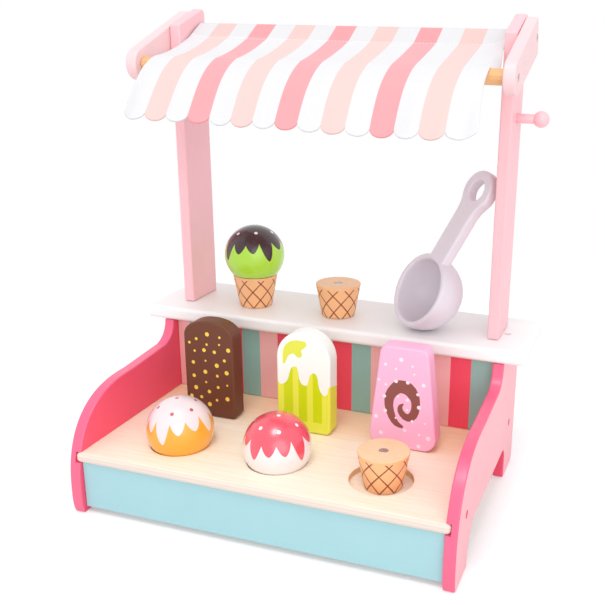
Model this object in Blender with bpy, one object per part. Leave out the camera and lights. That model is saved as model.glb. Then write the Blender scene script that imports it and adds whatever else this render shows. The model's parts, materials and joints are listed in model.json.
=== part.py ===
"""A toy ice cream stand of painted wood and cloth, with cones, scoops, lollies and a ladle."""

import math

import bmesh
import bpy
from mathutils import Matrix, Vector

MM = 0.001
GAP = 0.3 * MM  # left between pieces that touch

# Stand: X runs to the right, Y to the back, Z up, and the front of the walls is at -DEPTH / 2.
INNER_WIDTH = 300 * MM
DEPTH = 234.5 * MM
WALL_T = 9.5 * MM
EDGE_ROUND = 1.5 * MM

# Walls
WALL_BACK_INSET = 17.2 * MM
UPRIGHT_FROM_BACK = 88.2 * MM  # the wall's front edge above its ledge
NOSE_LENGTH = 80.5 * MM
NOSE_Z = 16 * MM
NOSE_POWER = 2.6
LEDGE_FRONT_Z = 97 * MM
LEDGE_BACK_Z = 100.6 * MM
TOE_SETBACK = 3.5 * MM
FRONT_FOOT = 36.5 * MM
BACK_FOOT = 40.3 * MM
ARCH_HEIGHT = 31 * MM
ARCH_FRONT_CURVE = 20 * MM
ARCH_BACK_R = 12 * MM
HEEL_R = 6 * MM

# Shelf and the boards that it carries
SHELF_TOP = 53.2 * MM
SHELF_T = 8 * MM
SHELF_NOSE = 1 * MM
SHELF_CORNER_R = 4 * MM
SHELF_EDGE_ROUND = 3 * MM
GROOVE_DEPTH = 4.5 * MM
SHELF_BACK_INSET = 18.5 * MM
FRONT_BOARD_INSET = 4.8 * MM
FRONT_BOARD_T = 5.5 * MM
FRONT_BOARD_BOTTOM = 5 * MM
BACK_BOARD_INSET = 8.85 * MM
BACK_BOARD_T = 5 * MM

# Counter
COUNTER_UNDERSIDE = 120.4 * MM
COUNTER_T = 12.2 * MM
COUNTER_DEPTH = 90.15 * MM
COUNTER_OVERHANG = 17.8 * MM
COUNTER_CORNER_R = 5 * MM
COUNTER_EDGE_ROUND = 3.5 * MM

# Posts, arms and dowels
POST_W = 43 * MM
POST_T = 9.8 * MM
POST_BACK_INSET = 24.8 * MM
POST_FRONT_TOP = 379.6 * MM
POST_BACK_TOP = 395 * MM
POST_TOP_R = 4 * MM
ARM_SLOPE = math.radians(20.5)
ARM_FRONT_R = 13 * MM
ARM_BACK_W = 30.5 * MM
ARM_REACH = 78.5 * MM  # between the two dowels' axes
ARM_TAIL = 5 * MM
REAR_DOWEL_FROM_POST_BACK = 9 * MM
REAR_DOWEL_Z = 375.6 * MM
REAR_DOWEL_R = 5 * MM
FRONT_DOWEL_R = 6 * MM
PEG_Z = 314.2 * MM
PEG_R = 3.8 * MM
PEG_BALL_R = 6.5 * MM
PEG_REACH = 19.3 * MM
PEG_SEAT = 6 * MM

# Canopy cloth
CLOTH_T = 1 * MM
CLOTH_SIDE_GAP = 1.4 * MM
BANDS = 15
COLUMNS_PER_BAND = 6
SEAM_AHEAD = 22.4 * MM  # in front of the rear dowel's axis
SEAM_BELOW = 8.9 * MM
HEM_AHEAD = 52.9 * MM  # in front of the front dowel's axis
HEM_BELOW = 40.3 * MM
SCALLOP = 6 * MM
DROP_START = 20 * MM  # how far the cloth keeps its direction past the dowel, and before the hem
DROP_END = 18 * MM
DROP_END_SLOPE = math.radians(69.5)
DROP_STEPS = 8
WRAP_STEPS = 8

# Cones, scoops and their magnets
CONE_BASE_R = 15 * MM
CONE_H = 29.5 * MM
CONE_ROUND = 1 * MM
CONE_RIM = 0.1 * MM  # how far a cone's top stands out past a scoop's flat
SCOOP_R = 27 * MM
SCOOP_CUT = 18 * MM  # from a scoop's centre down to its flat
MAGNET_R = 3.4 * MM
MAGNET_H = 2 * MM
RECESS_DEPTH = 5 * MM
SCOOP_RECESS_CLEARANCE = 0.5 * MM
CONE_RECESS_CLEARANCE = 1.4 * MM  # of the right recess, which is a little wider
RECESS_PITCH = 86.8 * MM
RECESS_SHIFT = 1.2 * MM  # of the middle recess, to the right
RECESS_FROM_FRONT = 47.5 * MM
CONES_FROM_COUNTER_FRONT = 38.5 * MM
LEFT_CONE_X = -83.4 * MM
MIDDLE_CONE_X = -1 * MM
RIGHT_CONE_SHIFT = 1.5 * MM  # from its recess's middle
SCOOP_SHIFT = Vector((0.4 * MM, -0.2 * MM))  # from their recesses' middles

# Ice lollies
LOLLY_T = 16.6 * MM
LOLLY_ROUND = 1.8 * MM
LOLLY_SHIFT = -1.7 * MM  # from midway between the scoops and the counter
CHOCOLATE_X = -87.1 * MM
CHOCOLATE_W = 47.2 * MM
CHOCOLATE_SIDE_H = 72.5 * MM
CHOCOLATE_H = 87.4 * MM
CHOCOLATE_POWER = 2.2
CHOCOLATE_CORNER_R = 4 * MM
LIME_X = 0.75 * MM
LIME_W = 48 * MM
LIME_H = 88.9 * MM
LIME_CORNER_R = 5 * MM
PINK_X = 87.6 * MM
PINK_BASE_W = 59.2 * MM
PINK_TOP_W = 39 * MM
PINK_H = 87.8 * MM
PINK_BASE_R = 11 * MM
PINK_TOP_R = 7 * MM

# Ladle: it stands on its bowl, and its ring leans on the right post.
BOWL_R = 33 * MM
BOWL_WALL = 5.1 * MM
BOWL_LIP = 8.1 * MM
HANDLE_W = 22 * MM
HANDLE_T = 9.5 * MM
HANDLE_LENGTH = 97.4 * MM  # between the centres of the bowl and the ring
HANDLE_SET = 0.5 * MM
HANDLE_ROUND = 1.5 * MM
RING_R = 17.6 * MM
RING_HOLE_R = 9.2 * MM
RING_FILLET_R = 25 * MM
LADLE_TURN = math.radians(-41.3)
LADLE_LEAN = math.radians(25)
LADLE_ROLL = math.radians(13)
LADLE_AHEAD = 20.2 * MM  # in front of the posts' middle

# Screws
SCREW_HEAD_R = 3 * MM
SCREW_R = 1.5 * MM
SCREW_SINK = 0.4 * MM
SCREW_POINT = 3 * MM
SCREW_HEAD_RIM = 0.3 * MM
SHORT_SCREW = 30 * MM
LONG_SCREW = 45 * MM
SHELF_SCREWS_FROM_FRONT = 28 * MM
SHELF_SCREWS_FROM_BACK = 28 * MM
COUNTER_SCREW_FROM_BACK = 48 * MM
COUNTER_SCREW_IN_WALL = 4.2 * MM  # from a wall's inner face
POST_SCREW_PITCH = 24 * MM

# Facets
ARC_STEP = math.radians(15)
ROUND_STEPS = 28
DOWEL_STEPS = 20
SCREW_STEPS = 10

# Places that follow from the sizes above
FRONT = -DEPTH / 2
BACK = DEPTH / 2
INNER_X = INNER_WIDTH / 2
OUTER_X = INNER_X + WALL_T
WALL_TOP = COUNTER_UNDERSIDE - GAP
WALL_BACK = BACK - WALL_BACK_INSET
COUNTER_FRONT = BACK - COUNTER_DEPTH
COUNTER_TOP = COUNTER_UNDERSIDE + COUNTER_T
SHELF_BOTTOM = SHELF_TOP - SHELF_T
POST_OUTER_X = INNER_X - GAP
POST_INNER_X = POST_OUTER_X - POST_T
POST_BACK = BACK - POST_BACK_INSET
POST_FRONT = POST_BACK - POST_W
POST_MIDDLE = (POST_FRONT + POST_BACK) / 2
REAR_DOWEL = Vector((POST_BACK - REAR_DOWEL_FROM_POST_BACK, REAR_DOWEL_Z))
ARM_LINE = Vector((math.cos(ARM_SLOPE), math.sin(ARM_SLOPE)))
FRONT_DOWEL = REAR_DOWEL - ARM_REACH * ARM_LINE
ARM_LENGTH = ARM_REACH + ARM_TAIL
ARM_TAPER = math.asin((ARM_BACK_W / 2 - ARM_FRONT_R) / ARM_LENGTH)
SCOOP_FLAT_R = math.sqrt(SCOOP_R**2 - SCOOP_CUT**2)
CONE_TOP_R = SCOOP_FLAT_R + CONE_RIM
SCOOP_SEAT_R = math.sqrt(SCOOP_R**2 - (SCOOP_CUT - RECESS_DEPTH) ** 2)  # where it meets the shelf's top
RECESS_RS = (SCOOP_SEAT_R + SCOOP_RECESS_CLEARANCE,) * 2 + (SCOOP_SEAT_R + CONE_RECESS_CLEARANCE,)
RECESS_Y = FRONT + RECESS_FROM_FRONT
RECESS_FLOOR = SHELF_TOP - RECESS_DEPTH
CONES_Y = COUNTER_FRONT + CONES_FROM_COUNTER_FRONT
LOLLY_Y = (RECESS_Y + SCOOP_R + COUNTER_FRONT) / 2 + LOLLY_SHIFT

PLACE = {
    "X": lambda a, b, along: (along, a, b),
    "Y": lambda a, b, along: (a, along, b),
    "Z": lambda a, b, along: (a, b, along),
}


def paint(name, colour, roughness, metallic=0.0):
    material = bpy.data.materials.new(name)
    material.use_nodes = True
    shader = material.node_tree.nodes["Principled BSDF"]
    shader.inputs["Base Color"].default_value = (*colour, 1)
    shader.inputs["Roughness"].default_value = roughness
    shader.inputs["Metallic"].default_value = metallic
    return material


def add(name, bm, material, location=(0, 0, 0), parent=None):
    """Puts a finished bmesh into the scene as an object, with its flat faces kept crisp."""
    mesh = bpy.data.meshes.new(name)
    bm.to_mesh(mesh)
    bm.free()
    mesh.shade_smooth()
    mesh.set_sharp_from_angle(angle=math.radians(35))
    if material:
        mesh.materials.append(material)
    piece = bpy.data.objects.new(name, mesh)
    bpy.context.scene.collection.objects.link(piece)
    piece.location = location
    piece.parent = parent
    return piece


def add_tool(name, bm, location=(0, 0, 0)):
    """A helper that a Boolean uses and that isn't a piece itself."""
    tool = add(name, bm, None, location)
    tool.hide_render = True
    tool.display_type = "WIRE"
    return tool


def round_edges(piece, width, segments=2):
    bevel = piece.modifiers.new("round edges", "BEVEL")
    bevel.width = width
    bevel.segments = segments
    bevel.limit_method = "ANGLE"
    bevel.angle_limit = math.radians(40)
    return bevel


def combine(piece, tool, operation="DIFFERENCE"):
    boolean = piece.modifiers.new(tool.name, "BOOLEAN")
    boolean.operation = operation
    boolean.object = tool


def prism(outline, axis, start, end):
    """Extrudes a flat outline along an axis. The outline's points are in the other two axes."""
    bm = bmesh.new()
    face = bm.faces.new([bm.verts.new(PLACE[axis](a, b, start)) for a, b in outline])
    extruded = bmesh.ops.extrude_face_region(bm, geom=[face])["geom"]
    moved = [item for item in extruded if isinstance(item, bmesh.types.BMVert)]
    bmesh.ops.translate(bm, verts=moved, vec=PLACE[axis](0, 0, end - start))
    bmesh.ops.recalc_face_normals(bm, faces=bm.faces)
    return bm


def lathe(profile, steps=ROUND_STEPS):
    """Turns (radius, height) points about Z."""
    bm = bmesh.new()
    line = [bm.verts.new((radius, 0, height)) for radius, height in profile]
    edges = [bm.edges.new(pair) for pair in zip(line, line[1:])]
    bmesh.ops.spin(
        bm, geom=line + edges, axis=(0, 0, 1), angle=2 * math.pi, steps=steps, use_merge=True
    )
    bmesh.ops.remove_doubles(bm, verts=bm.verts, dist=0.001 * MM)
    bmesh.ops.recalc_face_normals(bm, faces=bm.faces)
    return bm


def plug(radius, bottom, top):
    """The profile of a plain cylinder, for lathe."""
    return [(0, bottom), (radius, bottom), (radius, top), (0, top)]


def arc(centre, radii, start, end, power=2.0):
    """Points along a superellipse, with the angles in degrees; a power of 2 is an ellipse."""
    steps = max(2, round(abs(math.radians(end - start)) / ARC_STEP))
    points = []
    for step in range(steps + 1):
        angle = math.radians(start + (end - start) * step / steps)
        across, up = math.cos(angle), math.sin(angle)
        points.append((
            centre[0] + radii[0] * math.copysign(abs(across) ** (2 / power), across),
            centre[1] + radii[1] * math.copysign(abs(up) ** (2 / power), up),
        ))
    return points


def rounded(corners):
    """The outline through (a, b, radius) corners, each turned by an arc of its radius."""
    points = []
    for before, corner, after in zip(corners[-1:] + corners[:-1], corners, corners[1:] + corners[:1]):
        here, radius = Vector(corner[:2]), corner[2]
        if radius == 0:
            points.append(tuple(here))
            continue
        back = (Vector(before[:2]) - here).normalized()
        on = (Vector(after[:2]) - here).normalized()
        half = back.angle(on) / 2
        centre = here + (back + on).normalized() * radius / math.sin(half)
        spoke = here + back * radius / math.tan(half) - centre
        turn = math.copysign(math.pi - 2 * half, -back.cross(on))
        steps = max(2, round(abs(turn) / ARC_STEP))
        for step in range(steps + 1):
            points.append(tuple(centre + Matrix.Rotation(turn * step / steps, 2) @ spoke))
    return points


def box(low, high):
    corners = [(low[0], low[1]), (high[0], low[1]), (high[0], high[1]), (low[0], high[1])]
    return prism(corners, "Z", low[2], high[2])


def wall_outline():
    """Side view of a wall, in (y, z), from its top back corner over the foot and the nose."""
    arch_front = FRONT + FRONT_FOOT
    arch_back = WALL_BACK - BACK_FOOT
    fillet = WALL_TOP - LEDGE_BACK_Z
    upright = BACK - UPRIGHT_FROM_BACK
    outline = [(WALL_BACK, WALL_TOP)]
    outline += arc((upright - fillet, LEDGE_BACK_Z + fillet), (fillet, fillet), 0, -90)
    outline += arc(
        (FRONT + NOSE_LENGTH, NOSE_Z), (NOSE_LENGTH, LEDGE_FRONT_Z - NOSE_Z), 90, 180, NOSE_POWER
    )
    outline += arc((FRONT + TOE_SETBACK, NOSE_Z), (TOE_SETBACK, NOSE_Z), 180, 270)[1:]
    outline += arc((arch_front + ARCH_FRONT_CURVE, 0), (ARCH_FRONT_CURVE, ARCH_HEIGHT), 180, 90)
    outline += arc(
        (arch_back - ARCH_BACK_R, ARCH_HEIGHT - ARCH_BACK_R), (ARCH_BACK_R, ARCH_BACK_R), 90, 0
    )
    outline += [(arch_back, 0)]
    outline += arc((WALL_BACK - HEEL_R, HEEL_R), (HEEL_R, HEEL_R), 270, 360)
    return outline


def nose_y(height):
    """Where the front edge of a wall is at a height above the middle of its nose."""
    rise = (height - NOSE_Z) / (LEDGE_FRONT_Z - NOSE_Z)
    return FRONT + NOSE_LENGTH * (1 - (1 - rise**NOSE_POWER) ** (1 / NOSE_POWER))


SHELF_FRONT = nose_y(SHELF_TOP - SHELF_T / 2) - SHELF_NOSE
SHELF_BACK = BACK - SHELF_BACK_INSET
SHELF_END_X = INNER_X + GROOVE_DEPTH - GAP


def make_wall(name, side, material):
    wall = add(name, prism(wall_outline(), "X", side * INNER_X, side * OUTER_X), material)
    round_edges(wall, EDGE_ROUND)
    low_x, high_x = sorted((side * (INNER_X - WALL_T), side * (INNER_X + GROOVE_DEPTH)))
    groove = box(
        (low_x, FRONT - WALL_T, SHELF_BOTTOM - GAP), (high_x, SHELF_BACK + GAP, SHELF_TOP + GAP)
    )
    combine(wall, add_tool(name + " groove", groove))
    return wall


def make_shelf(material):
    corners = [
        (-SHELF_END_X, SHELF_FRONT, SHELF_CORNER_R),
        (SHELF_END_X, SHELF_FRONT, SHELF_CORNER_R),
        (SHELF_END_X, SHELF_BACK, 0),
        (-SHELF_END_X, SHELF_BACK, 0),
    ]
    shelf = add("shelf", prism(rounded(corners), "Z", SHELF_BOTTOM, SHELF_TOP), material)
    soften_front(shelf, SHELF_FRONT, SHELF_EDGE_ROUND)
    for place, radius in enumerate(RECESS_RS):
        recess = lathe(plug(radius, RECESS_FLOOR, SHELF_TOP + SHELF_T))
        centre = (RECESS_SHIFT + (place - 1) * RECESS_PITCH, RECESS_Y, 0)
        combine(shelf, add_tool(f"recess {place + 1}", recess, centre))
    return shelf


def soften_front(board, front, width):
    """Rounds the long front edges of a level board, and leaves its other edges square."""
    mesh = board.data
    weights = mesh.attributes.new("bevel_weight_edge", "FLOAT", "EDGE")
    for edge in mesh.edges:
        ends = [mesh.vertices[index].co for index in edge.vertices]
        level = abs(ends[0].z - ends[1].z) < GAP
        ahead = max(end.y for end in ends) < front + SHELF_CORNER_R + GAP
        weights.data[edge.index].value = 1.0 if level and ahead else 0.0
    bevel = board.modifiers.new("round front", "BEVEL")
    bevel.width = width
    bevel.segments = 3
    bevel.limit_method = "WEIGHT"


def make_counter(material):
    end_x = OUTER_X + COUNTER_OVERHANG
    corners = [
        (x, y, COUNTER_CORNER_R)
        for x, y in ((-end_x, COUNTER_FRONT), (end_x, COUNTER_FRONT), (end_x, BACK), (-end_x, BACK))
    ]
    counter = add("counter", prism(rounded(corners), "Z", COUNTER_UNDERSIDE, COUNTER_TOP), material)
    round_edges(counter, COUNTER_EDGE_ROUND)
    return counter


def make_post(name, side, material):
    foot = COUNTER_TOP + GAP
    outline = rounded([
        (POST_FRONT, foot, 0),
        (POST_BACK, foot, 0),
        (POST_BACK, POST_BACK_TOP, POST_TOP_R),
        (POST_FRONT, POST_FRONT_TOP, 0),
    ])
    post = add(name, prism(outline, "X", side * POST_INNER_X, side * POST_OUTER_X), material)
    round_edges(post, EDGE_ROUND)
    return post


def make_arm(name, side, material):
    """A slat along the dowels' line, round at the front, wider and square at the back."""
    half, taper = ARM_BACK_W / 2, math.degrees(ARM_TAPER)
    outline = arc((0, 0), (ARM_FRONT_R, ARM_FRONT_R), 90 + taper, 270 - taper)
    outline += [(ARM_LENGTH, -half), (ARM_LENGTH, half)]
    arm = add(name, prism(outline, "X", side * INNER_X, side * OUTER_X), material)
    arm.location = (0, *FRONT_DOWEL)
    arm.rotation_euler = (ARM_SLOPE, 0, 0)
    round_edges(arm, EDGE_ROUND)
    return arm


def make_dowel(name, centre, radius, half_length, material):
    chamfer = EDGE_ROUND / 2
    profile = [
        (0, -half_length),
        (radius - chamfer, -half_length),
        (radius, -half_length + chamfer),
        (radius, half_length - chamfer),
        (radius - chamfer, half_length),
        (0, half_length),
    ]
    dowel = add(name, lathe(profile, DOWEL_STEPS), material, (0, *centre))
    dowel.rotation_euler = (0, math.pi / 2, 0)
    return dowel


def make_peg(material):
    """A turned peg with a ball end, glued into the outer face of the right post."""
    neck = math.asin(PEG_R / PEG_BALL_R)
    profile = [(0, -PEG_SEAT), (PEG_R, -PEG_SEAT)]
    profile += [
        (PEG_BALL_R * math.sin(angle), PEG_REACH - PEG_BALL_R * math.cos(angle))
        for angle in (neck + (math.pi - neck) * step / 7 for step in range(8))
    ]
    peg = add("peg", lathe(profile, DOWEL_STEPS), material, (POST_OUTER_X, POST_MIDDLE, PEG_Z))
    peg.rotation_euler = (0, math.pi / 2, 0)
    seat = lathe(plug(PEG_R + GAP, -PEG_SEAT - GAP, PEG_SEAT), DOWEL_STEPS)
    hole = add_tool("peg hole", seat, peg.location)
    hole.rotation_euler = peg.rotation_euler
    return hole


def canopy_path():
    """The cloth's middle line in (y, z): round the rear dowel, over the front one, to the hem."""
    seam = REAR_DOWEL - Vector((SEAM_AHEAD, SEAM_BELOW))
    wrap = (REAR_DOWEL_R + GAP + CLOTH_T / 2) / math.cos(math.pi / 2 / WRAP_STEPS)
    down = (FRONT_DOWEL - REAR_DOWEL).normalized()
    normal = Vector((down.y, -down.x))
    path = [seam - Vector((0, CLOTH_T + GAP))]
    for step in range(WRAP_STEPS + 1):
        turn = math.pi * (step / WRAP_STEPS - 0.5)
        path.append(REAR_DOWEL + wrap * (normal * math.sin(turn) - down * math.cos(turn)))
    over = FRONT_DOWEL + Vector((0, FRONT_DOWEL_R + GAP + CLOTH_T))
    path += [seam, (seam + over) / 2, over]
    ahead = (over - seam).normalized()
    hem = FRONT_DOWEL - Vector((HEM_AHEAD, HEM_BELOW))
    handles = (
        over,
        over + DROP_START * ahead,
        hem + DROP_END * Vector((math.cos(DROP_END_SLOPE), math.sin(DROP_END_SLOPE))),
        hem,
    )
    for step in range(1, DROP_STEPS + 1):
        t = step / DROP_STEPS
        weights = ((1 - t) ** 3, 3 * t * (1 - t) ** 2, 3 * t * t * (1 - t), t**3)
        path.append(sum((weight * handle for weight, handle in zip(weights, handles)), Vector((0, 0))))
    return path


def make_canopy(material):
    """One striped cloth, sewn into a tunnel at the back and cut in scallops at the front."""
    path = canopy_path()
    half = POST_INNER_X - CLOTH_SIDE_GAP
    columns = BANDS * COLUMNS_PER_BAND
    last = (path[-1] - path[-2]).normalized()
    bm = bmesh.new()
    grid = []
    for column in range(columns + 1):
        x = -half + 2 * half * column / columns
        across = column % COLUMNS_PER_BAND / COLUMNS_PER_BAND
        lift = SCALLOP * (1 - math.sqrt(math.sin(math.pi * across)))
        line = path[:-1] + [path[-1] - lift * last]
        grid.append([bm.verts.new((x, *point)) for point in line])
    for left, right in zip(grid, grid[1:]):
        for row in range(len(path) - 1):
            bm.faces.new((left[row], left[row + 1], right[row + 1], right[row]))
    bmesh.ops.recalc_face_normals(bm, faces=bm.faces)
    canopy = add("canopy", bm, material)
    thicken = canopy.modifiers.new("cloth", "SOLIDIFY")
    thicken.thickness = CLOTH_T
    thicken.offset = 0
    thicken.use_even_offset = True
    return canopy


def make_magnet(name, holder, bottom, material):
    disc = lathe(plug(MAGNET_R, bottom, bottom + MAGNET_H), DOWEL_STEPS)
    add(name, disc, material, parent=holder)


def make_cone(name, location, material, steel):
    """A wooden cone with a magnet let into its top."""
    pocket_r = MAGNET_R + GAP
    pocket_floor = CONE_H - MAGNET_H - 2 * GAP
    profile = [(0, 0), (CONE_BASE_R - CONE_ROUND, 0), (CONE_BASE_R, CONE_ROUND)]
    profile += [(CONE_TOP_R, CONE_H - CONE_ROUND), (CONE_TOP_R - CONE_ROUND, CONE_H)]
    profile += [(pocket_r, CONE_H), (pocket_r, pocket_floor), (0, pocket_floor)]
    cone = add(name, lathe(profile), material, location)
    make_magnet(name + "_magnet", cone, pocket_floor + GAP, steel)
    return cone


def make_scoop(name, location, material, steel):
    """A wooden ball cut flat underneath, with a magnet let into the flat."""
    pocket_r = MAGNET_R + GAP
    pocket_roof = MAGNET_H + 2 * GAP
    low = -math.asin(SCOOP_CUT / SCOOP_R)
    steps = 11
    angles = [math.pi / 2 + (low - math.pi / 2) * step / steps for step in range(steps + 1)]
    profile = [(SCOOP_R * math.cos(angle), SCOOP_CUT + SCOOP_R * math.sin(angle)) for angle in angles]
    profile[0] = (0, SCOOP_CUT + SCOOP_R)
    profile += [(pocket_r, 0), (pocket_r, pocket_roof), (0, pocket_roof)]
    scoop = add(name, lathe(profile), material, location)
    make_magnet(name + "_magnet", scoop, GAP, steel)
    return scoop


def make_lolly(name, outline, x, material):
    """A flat lolly that stands on its lower edge; its outline is in (x, z) from that edge."""
    lolly = add(name, prism(outline, "Y", -LOLLY_T / 2, LOLLY_T / 2), material)
    lolly.location = (x, LOLLY_Y, SHELF_TOP + GAP)
    round_edges(lolly, LOLLY_ROUND)
    return lolly


def lolly_foot(half, radius):
    """The two lower corners of an upright lolly, from its left side round to its right."""
    left = arc((radius - half, radius), (radius, radius), 180, 270)
    return left + arc((half - radius, radius), (radius, radius), 270, 360)


def chocolate_outline():
    half = CHOCOLATE_W / 2
    top = arc((0, CHOCOLATE_SIDE_H), (half, CHOCOLATE_H - CHOCOLATE_SIDE_H), 0, 180, CHOCOLATE_POWER)
    return lolly_foot(half, CHOCOLATE_CORNER_R) + top


def lime_outline():
    half = LIME_W / 2
    return lolly_foot(half, LIME_CORNER_R) + arc((0, LIME_H - half), (half, half), 0, 180)


def pink_outline():
    return rounded([
        (-PINK_BASE_W / 2, 0, PINK_BASE_R),
        (PINK_BASE_W / 2, 0, PINK_BASE_R),
        (PINK_TOP_W / 2, PINK_H, PINK_TOP_R),
        (-PINK_TOP_W / 2, PINK_H, PINK_TOP_R),
    ])


def handle_outline():
    """The ladle's handle, from inside the bowl's wall up to its ring, with the bowl at (0, 0)."""
    half = HANDLE_W / 2
    start = BOWL_R - BOWL_WALL / 2
    reach = half + RING_FILLET_R
    rise = math.sqrt((RING_R + RING_FILLET_R) ** 2 - reach**2)
    lean = math.degrees(math.atan2(rise, reach))
    fillet_y = HANDLE_LENGTH - rise
    fillet_radii = (RING_FILLET_R, RING_FILLET_R)
    outline = [(-half, start), (half, start)]
    outline += arc((reach, fillet_y), fillet_radii, 180, 180 - lean)
    outline += arc((0, HANDLE_LENGTH), (RING_R, RING_R), -lean, 180 + lean)[1:-1]
    outline += arc((-reach, fillet_y), fillet_radii, lean, 0)
    return outline


def ladle_placement():
    """Face turned forward and left, bowl on the counter, ring against the right post."""
    turn = (
        Matrix.Rotation(LADLE_TURN, 4, "Z")
        @ Matrix.Rotation(-LADLE_LEAN, 4, "X")
        @ Matrix.Rotation(LADLE_ROLL, 4, "Y")
        @ Matrix.Rotation(math.pi / 2, 4, "X")
    )
    along, facing = turn.col[1].xyz, turn.col[2].xyz
    edge = HANDLE_ROUND
    ring_side = math.sqrt(1 - facing.x**2)
    reach = (RING_R - edge) * ring_side + (HANDLE_SET + HANDLE_T - edge) * abs(facing.x) + edge
    x = POST_INNER_X - GAP - reach - HANDLE_LENGTH * along.x
    z = COUNTER_TOP + GAP + BOWL_R + BOWL_LIP * facing.z
    return Matrix.Translation((x, POST_MIDDLE - LADLE_AHEAD, z)) @ turn


def make_ladle(material):
    inner = BOWL_R - BOWL_WALL
    rim = BOWL_WALL / 2
    middle = BOWL_R - rim
    bowl = [(0, -BOWL_LIP - BOWL_R)]
    bowl += arc((0, -BOWL_LIP), (BOWL_R, BOWL_R), 270, 360)[1:]
    bowl += arc((middle, -rim), (rim, rim), 0, 180)
    bowl += arc((0, -BOWL_LIP), (inner, inner), 360, 270)[:-1]
    bowl += [(0, -BOWL_LIP - inner)]
    ladle = add("ladle", lathe(bowl), material)
    handle = add_tool("ladle handle", prism(handle_outline(), "Z", -HANDLE_SET - HANDLE_T, -HANDLE_SET))
    round_edges(handle, HANDLE_ROUND)
    hole = lathe(plug(RING_HOLE_R, -2 * HANDLE_T, HANDLE_T))
    bmesh.ops.translate(hole, verts=hole.verts, vec=(0, HANDLE_LENGTH, 0))
    hole = add_tool("ladle hole", hole)
    combine(ladle, handle, "UNION")
    combine(ladle, hole)
    for part in (ladle, handle, hole):
        part.matrix_world = ladle_placement()
    return ladle


def screw_profile(length, spare):
    """A countersunk screw from its head down; spare makes it the hole that such a screw needs."""
    head, shank = SCREW_HEAD_R + spare, SCREW_R + spare
    return [
        (0, -4 * spare),
        (head, -4 * spare),
        (head, SCREW_HEAD_RIM),
        (shank, SCREW_HEAD_RIM + SCREW_HEAD_R - SCREW_R),
        (shank, length - SCREW_POINT + spare),
        (0, length + spare),
    ]


def drive_screw(name, head, direction, length, pieces, steel):
    """Puts a screw in, head first on a surface, and drills the pieces that it holds together."""
    turn = Vector(direction).to_track_quat("Z", "Y").to_euler()
    place = Vector(head) + SCREW_SINK * Vector(direction)
    screw = add(name, lathe(screw_profile(length, 0), SCREW_STEPS), steel, place)
    drill = add_tool(name + " hole", lathe(screw_profile(length, GAP), SCREW_STEPS), place)
    for item in (screw, drill):
        item.rotation_euler = turn
    for piece in pieces:
        combine(piece, drill)


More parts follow.
